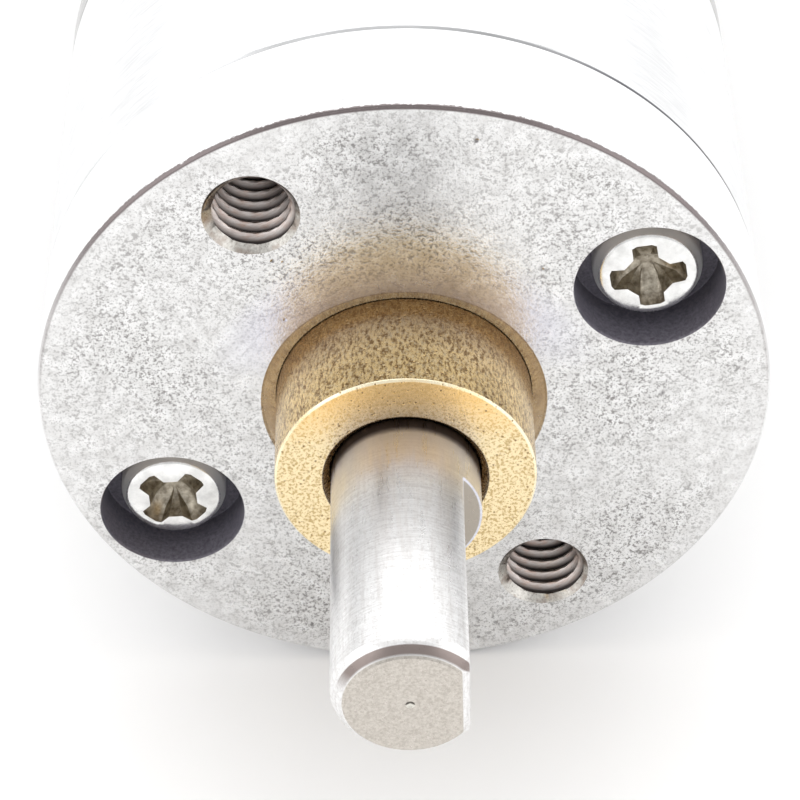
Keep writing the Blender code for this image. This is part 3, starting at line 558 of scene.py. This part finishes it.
def moulded(name, colour, roughness=0.45):
    """Moulded plastic with a faint spark-eroded texture."""
    f = Finish(name, 0.0, roughness)
    fine = f.noise(0.09 * MM, 3.0, 0.6)
    cloud = f.noise(2.0 * MM, 2.0, 0.5, seed=1.0)
    paler = tuple(min(1.0, c * 1.35 + 0.01) for c in colour)
    f.colour(f.blend(f.ramp(cloud, 0.35, 0.65), colour, paler))
    f.roughness(f.ramp(fine, 0.3, 0.7, roughness * 0.85, roughness * 1.2))
    f.bump((fine, 0.003 * MM))
    return f.material


def wound_copper():
    """Enamelled wire in close turns around each pole's neck."""
    f = Finish("wound_copper", 0.9, 0.3)
    turns = f.math("SINE", f.times(f.radius(), math.tau / (0.22 * MM)))
    cloud = f.noise(0.8 * MM, 3.0, 0.6)
    f.colour(f.blend(f.ramp(turns, -0.6, 0.8), (0.24, 0.07, 0.03), (0.66, 0.27, 0.12)))
    f.roughness(f.ramp(cloud, 0.3, 0.7, 0.22, 0.38))
    f.bump((turns, 0.04 * MM))
    return f.material


def laminated_steel():
    """Thin stamped sheets, stacked along the shaft."""
    f = Finish("laminated_steel", 0.95, 0.45)
    _, depth, _ = f.axes()
    sheets = f.math("SINE", f.times(depth, math.tau / (0.5 * MM)))
    cloud = f.noise(0.9 * MM, 3.0, 0.6)
    base = f.blend(f.ramp(cloud, 0.35, 0.65), (0.3, 0.31, 0.33), (0.44, 0.44, 0.45))
    f.colour(f.blend(f.ramp(sheets, -0.95, -0.7, 0.7, 0.0), base, (0.08, 0.08, 0.08)))
    f.roughness(f.ramp(cloud, 0.3, 0.7, 0.36, 0.52))
    f.bump((f.ramp(sheets, -1.0, -0.6), 0.01 * MM))
    return f.material


def ceramic(name, colour):
    """Pressed and fired powder: matt, dark and slightly chalky."""
    f = Finish(name, 0.1, 0.6)
    grain = f.noise(0.1 * MM, 4.0, 0.7)
    paler = tuple(c * 1.6 + 0.01 for c in colour)
    f.colour(f.blend(f.ramp(grain, 0.35, 0.65), colour, paler))
    f.roughness(f.ramp(grain, 0.3, 0.7, 0.5, 0.72))
    f.bump((grain, 0.004 * MM))
    return f.material


ZINC = cast_zinc()
DARK_ZINC = [
    dark_zinc(f"counterbore_zinc_{i}", polar(FACE_CIRCLE, bearing))
    for i, bearing in enumerate(SCREW_BEARINGS)
]
THREAD_ZINC = [
    tapped_zinc(f"tapped_zinc_{i}", polar(FACE_CIRCLE, bearing))
    for i, bearing in enumerate(TAPPED_BEARINGS)
]
MOUTH_ZINC = bright_cut_zinc()
BRONZE = sintered_bronze("sintered_bronze", (0.33, 0.2, 0.08), (1.0, 0.74, 0.36), (0.95, 0.79, 0.5))
STEEL = ground_steel()
SCREW_PLATING = bright_plate("screw_plating", (0.95, 0.95, 0.94), (0.68, 0.68, 0.67), worn_behind=0.55)
# The cross recess is painted darker and browner than the head's plating, as painted shade.
RECESS = bright_plate("screw_recess", (0.56, 0.51, 0.42), (0.2, 0.17, 0.13), 0.36, 0.2)
TUBE = brushed("plated_tube", (0.86, 0.865, 0.87), (0.72, 0.725, 0.735), 0.3, joint=HOUSING_LOW.y)
CAN_PLATING = brushed("can_plating", (0.7, 0.71, 0.72), (0.54, 0.55, 0.565), 0.22, (1.0, 0.05, 1.0))
BACK_STEEL = brushed("back_plate_steel", (0.58, 0.58, 0.58), (0.42, 0.42, 0.42), 0.3)
GEAR_BRASS = brushed("gear_brass", (0.84, 0.64, 0.3), (0.68, 0.48, 0.2), 0.26)
GEAR_STEEL = brushed("gear_steel", (0.6, 0.6, 0.6), (0.44, 0.44, 0.45), 0.3)
SPRING_STEEL = brushed("spring_steel", (0.7, 0.7, 0.7), (0.52, 0.52, 0.52), 0.25, (1.0, 0.1, 1.0))
SPRING_BRONZE = brushed("spring_bronze", (0.84, 0.58, 0.34), (0.66, 0.42, 0.24), 0.25, (1.0, 0.1, 1.0))
TIN = brushed("tinned_brass", (0.84, 0.84, 0.82), (0.68, 0.67, 0.62), 0.3, (1.0, 0.12, 1.0))
COPPER = brushed("turned_copper", (0.84, 0.48, 0.32), (0.66, 0.34, 0.2), 0.26)
BLACK_PLASTIC = moulded("black_nylon", (0.022, 0.022, 0.024))
WHITE_NYLON = moulded("white_nylon", (0.72, 0.69, 0.6))
WINDING = wound_copper()
LAMINATIONS = laminated_steel()
FERRITE = ceramic("ferrite", (0.055, 0.055, 0.06))
CARBON = ceramic("carbon", (0.03, 0.03, 0.03))


# Pieces


def thread_tool(name, at, looks, start, end, pitch, major, minor, mouth):
    """The shape of a tapped hole: a helical thread from start to end, with a bevelled mouth.

    The mouth is given by the depth at which its 45 degree bevel would reach the hole's axis.
    """
    sides = 72
    rows_per_pitch = 18
    crest, flank = 0.1, 0.78  # shares of half a pitch
    near_bevel = 0.012
    rows = int((end - start) / pitch * rows_per_pitch)
    rings = []
    for row in range(rows + 1):
        depth = start + (end - start) * row / rows
        bevel = mouth - depth
        ring = []
        for side in range(sides):
            turn = side / sides
            phase = (depth / pitch - turn) % 1.0
            slope = min(1.0, max(0.0, (abs(phase - 0.5) * 2 - crest) / flank))
            radius = max(minor + (major - minor) * (1 - slope), bevel)
            x, z = polar(radius, -360 * turn)
            ring.append((x + at[0], depth, z + at[1]))
        rings.append(ring)
    tool = as_object(name, loft(rings), looks)
    tool.data.materials.append(MOUTH_ZINC)
    for face in tool.data.polygons:
        out = math.hypot(face.center.x - at[0], face.center.z - at[1])
        if abs(out - (mouth - face.center.y)) < near_bevel:
            face.material_index = 1
    return tool


def counterbore_tool(name, at, looks):
    """A flat-bottomed hole with a slightly broken mouth, and the screw's clearance hole through its floor."""
    start, end, clearance = -0.4, 3.9, 0.95
    profile = [
        (start, 0),
        (start, 2.4),
        (0.0, 2.03),
        (0.06, COUNTERBORE_RADIUS),
        (COUNTERBORE_DEPTH, COUNTERBORE_RADIUS),
        (COUNTERBORE_DEPTH, clearance),
        (end, clearance),
        (end, 0),
    ]
    return as_object(name, turned(rounded(profile, 0.03), SIDES_SMALL, at), looks)


def front_plate():
    """The plate with its two counterbores and two tapped holes, and the step that centres it in the tube."""
    rear = HOUSING_LOW.y - PRESSED
    bore = BUSH_RADIUS + PRESSED
    step_inside = 8.75
    profile = [
        (0, bore + 0.4),
        (0, SHELL_RADIUS - 0.07, 0.03),
        (0.07, SHELL_RADIUS, 0.03),
        (rear - 0.08, SHELL_RADIUS, 0.05),
        (rear, SHELL_RADIUS - 0.08),
        (rear, SPIGOT_RADIUS),
        (PLATE_HIGH.y, SPIGOT_RADIUS),
        (PLATE_HIGH.y, step_inside),
        (rear, step_inside),
        (rear, bore),
        (0.22, bore, 0.06),
    ]
    plate = as_object("front_plate_fine", turned(rounded(profile, 0.04), SIDES_LARGE), ZINC)
    tools = [
        counterbore_tool(f"counterbore_{i}", polar(FACE_CIRCLE, bearing), looks)
        for i, (bearing, looks) in enumerate(zip(SCREW_BEARINGS, DARK_ZINC))
    ]
    for i, (bearing, looks) in enumerate(zip(TAPPED_BEARINGS, THREAD_ZINC)):
        at = polar(FACE_CIRCLE, bearing)
        tap = {"start": -0.3, "end": 3.8, "pitch": 0.45, "major": 1.26, "minor": 1.02, "mouth": 1.29}
        tools.append(thread_tool(f"tap_{i}", at, looks, **tap))
    combine(plate, "DIFFERENCE", tools)
    place(plate, "frame", "front_plate", "front_plate")


def bushing():
    """The output bushing, with a flange behind the plate."""
    bore = 2.03
    front = BUSH_LOW.y
    flange_front = 3.52
    flange_radius = BUSH_HIGH.x - 0.01
    profile = [
        (front, bore + 0.2, 0.04),
        (front, BUSH_RADIUS - 0.06, 0.03),
        (front + 0.06, BUSH_RADIUS, 0.04),
        (flange_front, BUSH_RADIUS, 0.0),
        (flange_front, flange_radius),
        (BUSH_HIGH.y, flange_radius),
        (BUSH_HIGH.y, bore),
        (front + 0.2, bore, 0.04),
    ]
    bush = as_object("output_bushing_fine", turned(rounded(profile, 0.04, closed=True), SIDES_BUSH), BRONZE)
    place(bush, "frame", "bronze", "output_bushing")


def d_section(radius, flat, depth):
    """A circle cut off at x = flat, with a small radius where the flat meets the round."""
    sides, blend = 160, 0.03
    ring = []
    for i in range(sides):
        x, z = polar(radius, 360 * i / sides)
        over = (x - flat) / blend
        soft = max(over, 0.0) if abs(over) > 1 else (over + 1) ** 2 / 4
        ring.append((x - soft * blend, depth, z))
    return ring


def output_shaft():
    """The D-shaft from tip to rear. Its flat ends in a step, and its tip has a bevel in two slopes."""
    tip = SHAFT_LOW.y
    round_only = 3.0  # a flat this far out cuts nothing off
    neck = 1.6
    step = tip + FLAT_LENGTH
    bevel_end = 0.52
    # Distance behind the tip, radius, and distance from the axis to the flat
    stations = [
        (0.0, 1.64, 1.25),
        (0.02, 1.67, 1.28),
        (0.2, 1.84, 1.46),
        (0.25, 1.88, 1.49),
        (0.42, 1.98, 1.5),
        (0.46, 1.995, 1.5),
        (bevel_end, 2.0, 1.5),
    ]
    rings = [d_section(r, f, tip + d) for d, r, f in stations]
    for share in (0.1, 0.3, 0.5, 0.7, 0.9):
        depth = tip + bevel_end + share * (step - tip - bevel_end)
        rings.append(d_section(SHAFT_RADIUS, FLAT_X, depth))
    rings.append(d_section(SHAFT_RADIUS, FLAT_X, step - 0.02))
    rings.append(d_section(SHAFT_RADIUS, FLAT_X + 0.02, step))
    rings.append(d_section(SHAFT_RADIUS, SHAFT_RADIUS - 0.03, step + 0.03))
    for depth in (step + 0.05, -2.0, 0.0, 2.0, 4.38):
        rings.append(d_section(SHAFT_RADIUS, round_only, depth))
    rings.append(d_section(neck, round_only, 4.4))
    rings.append(d_section(neck, round_only, SHAFT_HIGH.y))
    shaft = as_object("output_shaft_fine", loft(rings), STEEL)
    centre = [(tip - 0.1, 0), (tip - 0.1, 0.27), (tip + 0.06, 0.0)]
    combine(shaft, "DIFFERENCE", [as_object("centre_mark", turned(centre, SIDES_MARK), STEEL)])
    place(shaft, "output", "ground_steel", "output_shaft")


def recess_tool(name, at, turn, top, depth):
    """A cross recess: four tapering wings around a pointed middle, with bevelled corners between them."""

    def section(reach, half_width, corner):
        tip = half_width * 0.6
        arm = [(reach - 0.07, -half_width), (reach, -tip), (reach, tip), (reach - 0.07, half_width)]
        arm += [(corner, half_width), (half_width, corner)]
        return [point for i in range(4) for point in rotated(arm, turn + 90 * i)]

    # Depth, reach of a wing, half its width, and where two wings meet
    levels = (
        (top - 0.3, 1.12, 0.36, 0.66),
        (top + 0.13 * depth, 1.02, 0.33, 0.6),
        (top + 0.6 * depth, 0.8, 0.28, 0.44),
        (top + 0.85 * depth, 0.5, 0.22, 0.3),
        (top + depth, 0.22, 0.12, 0.16),
    )
    rings = [
        [(x + at[0], level, z + at[1]) for x, z in section(reach, half, corner)]
        for level, reach, half, corner in levels
    ]
    return as_object(name, loft(rings), RECESS)


def gearbox_screw(number, bearing, turn):
    """A pan-head screw whose domed head stands in the counterbore."""
    at = polar(FACE_CIRCLE, bearing)
    node = f"gearbox_screw_{number}"
    low, high = box(node)
    head, thread = 1.48, 0.84  # radii
    middle, under = 1.0, 1.48  # depths on the head's side
    crown = [(low.y + r * r * 0.08, r) for r in (0.0, 0.3, 0.6, 0.9, 1.2)]
    shoulder = [(low.y + 0.115, 1.2), (low.y + 0.15, 1.32, 0.3), (low.y + 0.44, 1.47, 0.3), (middle, head)]
    dome = crown + rounded(shoulder, 0, 8)[1:]
    shank = rounded(
        [
            (middle, head, 0),
            (under, head, 0.05),
            (under, thread, 0.05),
            (high.y - 0.4, thread, 0.05),
            (high.y, 0.5, 0.05),
            (high.y, 0),
        ],
        0.03,
    )
    screw = as_object(f"{node}_fine", turned(dome + shank[1:], SIDES_SMALL, at), SCREW_PLATING)
    combine(screw, "DIFFERENCE", [recess_tool("recess", at, turn, low.y, 0.8)])
    soften_edges(screw, 0.028, 35)
    place(screw, "frame", "screws", node)


def housing():
    front, rear = HOUSING_LOW.y, HOUSING_HIGH.y
    inner = 9.2
    profile = [
        (front, inner),
        (front, SHELL_RADIUS - 0.07, 0.04),
        (front + 0.07, SHELL_RADIUS, 0.05),
        (rear - 0.07, SHELL_RADIUS, 0.05),
        (rear, SHELL_RADIUS - 0.07, 0.04),
        (rear, inner),
    ]
    tube = as_object("gearbox_housing_fine", turned(rounded(profile, 0.03, closed=True), SIDES_LARGE), TUBE)
    place(tube, "frame", "gearbox_tube", "gearbox_housing")


def drill(start, end, radius):
    """The profile of a plain hole's tool."""
    return [(start, 0), (start, radius), (end, radius), (end, 0)]


def double_d(radius, flat, corner):
    """A circle with two flats at z = flat and z = -flat, rounded where they meet."""
    steps = 30
    half = math.degrees(math.asin(flat / radius))
    sharp = arc(radius, -half, half, steps) + arc(radius, 180 - half, 180 + half, steps)
    marked = [(*point, corner if i % (steps + 1) in (0, steps) else 0) for i, point in enumerate(sharp)]
    return rounded(marked, 0, 6, closed=True)


def motor_can():
    """A drawn can with two flats, a rounded front edge, a boss and crimped tabs."""
    radius, flat = CAN_OUTSIDE
    wall = 0.9
    corner_steps = 8
    rings = []
    for step in range(corner_steps + 1):
        angle = math.radians(90 * step / corner_steps)
        inset = wall * (1 - math.sin(angle))
        depth = CAN_FRONT + wall * (1 - math.cos(angle))
        rings.append([(x, depth, z) for x, z in double_d(radius - inset, flat - inset, 0.7)])
    rings.append([(x, CAN_REAR - 0.05, z) for x, z in double_d(radius, flat, 0.7)])
    rings.append([(x, CAN_REAR, z) for x, z in double_d(9.86, 7.66, 0.68)])
    can = as_object("motor_can_fine", loft(rings), CAN_PLATING)
    boss_radius, boss_rear = 3.0, CAN_FRONT + 0.5
    boss = rounded([(CAN_LOW.y, 0), (CAN_LOW.y, boss_radius, 0.2), (boss_rear, boss_radius)], 0.2)
    boss = as_object("boss", turned([*boss, (boss_rear, 0)], SIDES_SMALL), CAN_PLATING)
    combine(can, "UNION", [boss])
    inside = double_d(*CAN_INSIDE, 0.5)
    cuts = [
        as_object("inside", prism(inside, (CAN_FRONT + wall, CAN_REAR + 0.5)), CAN_PLATING),
        as_object("seat", turned(drill(14.58, 17.0, BEARING_SEAT), SIDES_SMALL), CAN_PLATING),
        as_object("hole", turned(drill(14.0, 15.0, SHAFT_HOLE), SIDES_SMALL), CAN_PLATING),
    ]
    screw_hole = drill(CAN_FRONT - 0.5, CAN_FRONT + 1.4, MOTOR_SCREW_HOLE)
    for side in (1, -1):
        hole = turned(screw_hole, SIDES_HOLE, (side * MOTOR_SCREW_X, 0))
        cuts.append(as_object("screw_hole", hole, CAN_PLATING))
    combine(can, "DIFFERENCE", cuts)
    tabs = []
    tab_steps = 12
    tab_corners = (0, tab_steps, tab_steps + 1, 2 * tab_steps + 1)
    for bearing in (25.0, 155.0, 205.0, 335.0):
        low, high = bearing - 5, bearing + 5
        outline = arc(9.45, low, high, tab_steps) + arc(8.2, high, low, tab_steps)
        marked = [(*point, 0.12 if i in tab_corners else 0) for i, point in enumerate(outline)]
        outline = rounded(marked, 0, 4, closed=True)
        tabs.append(as_object("crimp", prism(outline, (42.15, 42.58)), CAN_PLATING))
    combine(can, "UNION", tabs)
    place(can, "frame", "motor_can", "motor_can")


def back_plate():
    """The plate between the gears and the motor, with holes for the long screws, the pins and the motor."""
    front, rear = HOUSING_HIGH.y + PRESSED, BACK_HIGH.y
    bore = 3.04
    start, end = 12.9, 16.0  # of the tools that cut its holes
    profile = [
        (BACK_LOW.y, bore),
        (BACK_LOW.y, SPIGOT_RADIUS),
        (front, SPIGOT_RADIUS),
        (front, SHELL_RADIUS - 0.07, 0.04),
        (front + 0.07, SHELL_RADIUS, 0.05),
        (rear - 0.15, SHELL_RADIUS, 0.08),
        (rear, SHELL_RADIUS - 0.15, 0.06),
        (rear, bore),
    ]
    plate = as_object("back_plate_fine", turned(rounded(profile, 0.03, closed=True), SIDES_LARGE), BACK_STEEL)
    cuts = []
    for bearing in SCREW_BEARINGS:
        at = polar(FACE_CIRCLE, bearing)
        tap = {"start": start, "end": 16.2, "pitch": 0.35, "major": 0.98, "minor": 0.87, "mouth": 14.3}
        cuts.append(thread_tool("long_thread", at, BACK_STEEL, **tap))
    for bearing in PIN_BEARINGS:
        hole = turned(drill(start, end, 0.52), SIDES_HOLE, polar(PIN_CIRCLE, bearing))
        cuts.append(as_object("pin_hole", hole, BACK_STEEL))
    countersink = [(start, 0), (start, 1.82), (13.45, 1.82)]
    countersink += [(14.3, MOTOR_SCREW_HOLE), (end, MOTOR_SCREW_HOLE), (end, 0)]
    for side in (1, -1):
        hole = turned(countersink, SIDES_HOLE, (side * MOTOR_SCREW_X, 0))
        cuts.append(as_object("motor_screw_hole", hole, BACK_STEEL))
    combine(plate, "DIFFERENCE", cuts)
    place(plate, "frame", "back_plate", "back_plate")


def end_cap():
    """The moulded plug that closes the can, with a stepped boss, ribs and slots for the terminals."""
    front, floor = CAP_LOW.y, 42.1
    root = floor - 0.5  # where its boss and ribs start, inside it
    cap = as_object("end_cap_fine", prism(double_d(*CAP_OUTSIDE, 0.5), (front, floor)), BLACK_PLASTIC)
    boss = [
        (root, 0),
        (root, 3.3, 0),
        (CAP_HIGH.y - 0.7, 3.3, 0.15),
        (CAP_HIGH.y - 0.7, 2.9, 0.1),
        (CAP_HIGH.y, 2.8, 0.2),
        (CAP_HIGH.y, 0),
    ]
    joins = [as_object("boss", turned(rounded(boss, 0.1), SIDES_SMALL), BLACK_PLASTIC)]
    for bearing in (60.0, 120.0, 240.0, 300.0):
        rib = rotated([(3.0, -0.3), (6.0, -0.3), (6.0, 0.3), (3.0, 0.3)], bearing)
        joins.append(as_object("rib", prism(rib, (root, floor + 0.6)), BLACK_PLASTIC))
    combine(cap, "UNION", joins)
    cuts = [
        as_object("seat", turned(drill(front - 0.5, 43.62, BEARING_SEAT), SIDES_SMALL), BLACK_PLASTIC),
        as_object("hole", turned(drill(43.0, 45.0, SHAFT_HOLE), SIDES_SMALL), BLACK_PLASTIC),
    ]
    for turn in (0, 180):
        slot = [(6.43, -1.12), (6.87, -1.12), (6.87, 1.12), (6.43, 1.12)]
        cuts.append(as_object("slot", prism(rotated(slot, turn), (front - 0.5, floor + 1.0)), BLACK_PLASTIC))
    combine(cap, "DIFFERENCE", cuts)
    soften_edges(cap, 0.08, 40)
    place(cap, "frame", "black_plastic", "end_cap")


def terminal(side, facing):
    """A stamped tab with rounded corners and a round eye. It faces +X or -X, which is 1 or -1."""
    node = f"terminal_{side}"
    low, high = box(node)
    start, end, half = low.y, high.y, high.z
    corners = [(start, -half, 0), (end, -half, 0.5), (end, half, 0.5), (start, half, 0)]
    outline = rounded(corners, 0, 6, closed=True)
    rings = [[(x * facing, depth, z) for depth, z in outline] for x in (6.45, 6.85)]
    tab = as_object(f"{node}_fine", loft(rings), TIN)
    half_eye = arc(0.5, 0, 180, 12)
    eye = [(end - 1.2 + d, z) for d, z in half_eye + [(-d, -z) for d, z in half_eye]]
    rings = [[(x * facing, depth, z) for depth, z in eye] for x in (6.0, 7.2)]
    combine(tab, "DIFFERENCE", [as_object("eye", loft(rings), TIN)])
    soften_edges(tab, 0.05, 40)
    place(tab, "frame", "terminal", node)


def finish_cad_nodes():
    """The pieces inside keep their CAD shape. Each takes its finish and is shaded smooth between edges."""
    finishes = {
        "gear_pin_a": STEEL,
        "gear_pin_b": STEEL,
        "motor_shaft": STEEL,
        "pin_a_front_spacer": SPRING_STEEL,
        "pin_a_washer": SPRING_STEEL,
        "pin_a_rear_spacer": SPRING_STEEL,
        "pin_b_front_spacer": SPRING_STEEL,
        "pin_b_rear_spacer": SPRING_STEEL,
        "output_thrust_washer": SPRING_STEEL,
        "magnet_clip_top": SPRING_STEEL,
        "magnet_clip_bottom": SPRING_STEEL,
        "motor_screw_1": SCREW_PLATING,
        "motor_screw_2": SCREW_PLATING,
        "magnet_left": FERRITE,
        "magnet_right": FERRITE,
        "motor_front_bearing": BRONZE,
        "motor_rear_bearing": BRONZE,
        "brush_arm_left": SPRING_BRONZE,
        "brush_arm_right": SPRING_BRONZE,
        "brush_left": CARBON,
        "brush_right": CARBON,
        "output_gear": GEAR_STEEL,
        "motor_pinion": GEAR_BRASS,
        "armature_core": LAMINATIONS,
        "commutator_hub": BLACK_PLASTIC,
        "rotor_spacer": WHITE_NYLON,
        "rotor_rear_washer": WHITE_NYLON,
    }
    for stage in (1, 2, 3):
        finishes[f"stage_{stage}_wheel"] = GEAR_BRASS
        finishes[f"stage_{stage}_pinion"] = GEAR_STEEL
        finishes[f"coil_{stage}"] = WINDING
        finishes[f"commutator_segment_{stage}"] = COPPER
    for name, looks in finishes.items():
        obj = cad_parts[name]
        obj.data.materials.clear()
        obj.data.materials.append(looks)
        obj.data.shade_smooth()
        weld = obj.modifiers.new("weld", "WELD")
        weld.merge_threshold = 0.0005 * MM
        split = obj.modifiers.new("edges", "EDGE_SPLIT")
        split.split_angle = math.radians(30)


# Floor, light and camera


def plain(name, colour, roughness):
    made = bpy.data.materials.new(name)
    made.use_nodes = True
    shader = made.node_tree.nodes["Principled BSDF"]
    shader.inputs["Base Color"].default_value = (*colour, 1.0)
    shader.inputs["Roughness"].default_value = roughness
    return made


def make_floor():
    bm = bmesh.new()
    bmesh.ops.create_grid(bm, x_segments=2, y_segments=2, size=0.6)
    bmesh.ops.translate(bm, verts=bm.verts, vec=(0, 0, cad_box[0][2]))
    as_object("floor", bm, plain("floor", (0.93, 0.925, 0.92), 0.6))


def area_light(name, location, size, power):
    """A soft panel that faces the origin."""
    data = bpy.data.lights.new(name, "AREA")
    data.shape = "RECTANGLE"
    data.size, data.size_y = size
    data.energy = power
    obj = bpy.data.objects.new(name, data)
    obj.location = location
    obj.rotation_euler = (Vector() - Vector(location)).to_track_quat("-Z", "Y").to_euler()
    obj.visible_camera = False
    bpy.context.scene.collection.objects.link(obj)


def make_light():
    """A white tent: an even surround, a soft panel overhead, and wide ones behind and to both sides."""
    world = bpy.data.worlds.new("studio")
    bpy.context.scene.world = world
    world.use_nodes = True
    background = world.node_tree.nodes["Background"]
    background.inputs["Color"].default_value = (1.0, 1.0, 1.0, 1.0)
    background.inputs["Strength"].default_value = 0.8
    area_light("top", (0.0, 0.1, 0.32), (0.4, 0.4), 0.55)
    area_light("back", (0.0, 0.55, 0.25), (1.2, 0.5), 1.2)
    for name, side in (("left", -1), ("right", 1)):
        area_light(name, (side * 0.5, -0.05, 0.25), (0.8, 0.45), 1.0)


def make_camera():
    """Above and in front of the mounting face, and almost square to it from left to right."""
    azimuth = math.radians(0.634)
    elevation = math.radians(41.463)
    roll = math.radians(-2.009)
    distance = 88.137 * MM
    across, above = -0.113 * MM, 0.064 * MM
    level = math.cos(elevation)
    back = Vector((math.sin(azimuth) * level, -math.cos(azimuth) * level, math.sin(elevation)))
    right = Vector((math.cos(azimuth), math.sin(azimuth), 0))
    up = back.cross(right)
    data = bpy.data.cameras.new("camera")
    data.lens = 144.96
    data.sensor_width = 36.0
    data.clip_start = 0.001
    data.clip_end = 10.0
    camera = bpy.data.objects.new("camera", data)
    turned_right = math.cos(roll) * right + math.sin(roll) * up
    turned_up = math.cos(roll) * up - math.sin(roll) * right
    matrix = Matrix((turned_right, turned_up, back)).transposed().to_4x4()
    matrix.translation = back * distance + right * across + up * above
    camera.matrix_world = matrix
    bpy.context.scene.collection.objects.link(camera)
    bpy.context.scene.camera = camera


make_camera()
front_plate()
bushing()
output_shaft()
for number, (screw_bearing, recess_turn) in enumerate(zip(SCREW_BEARINGS, SCREW_RECESS_TURNS), 1):
    gearbox_screw(number, screw_bearing, recess_turn)
housing()
back_plate()
motor_can()
end_cap()
terminal("right", 1)
terminal("left", -1)
finish_cad_nodes()
make_floor()
make_light()
bpy.context.scene.view_settings.view_transform = "Standard"
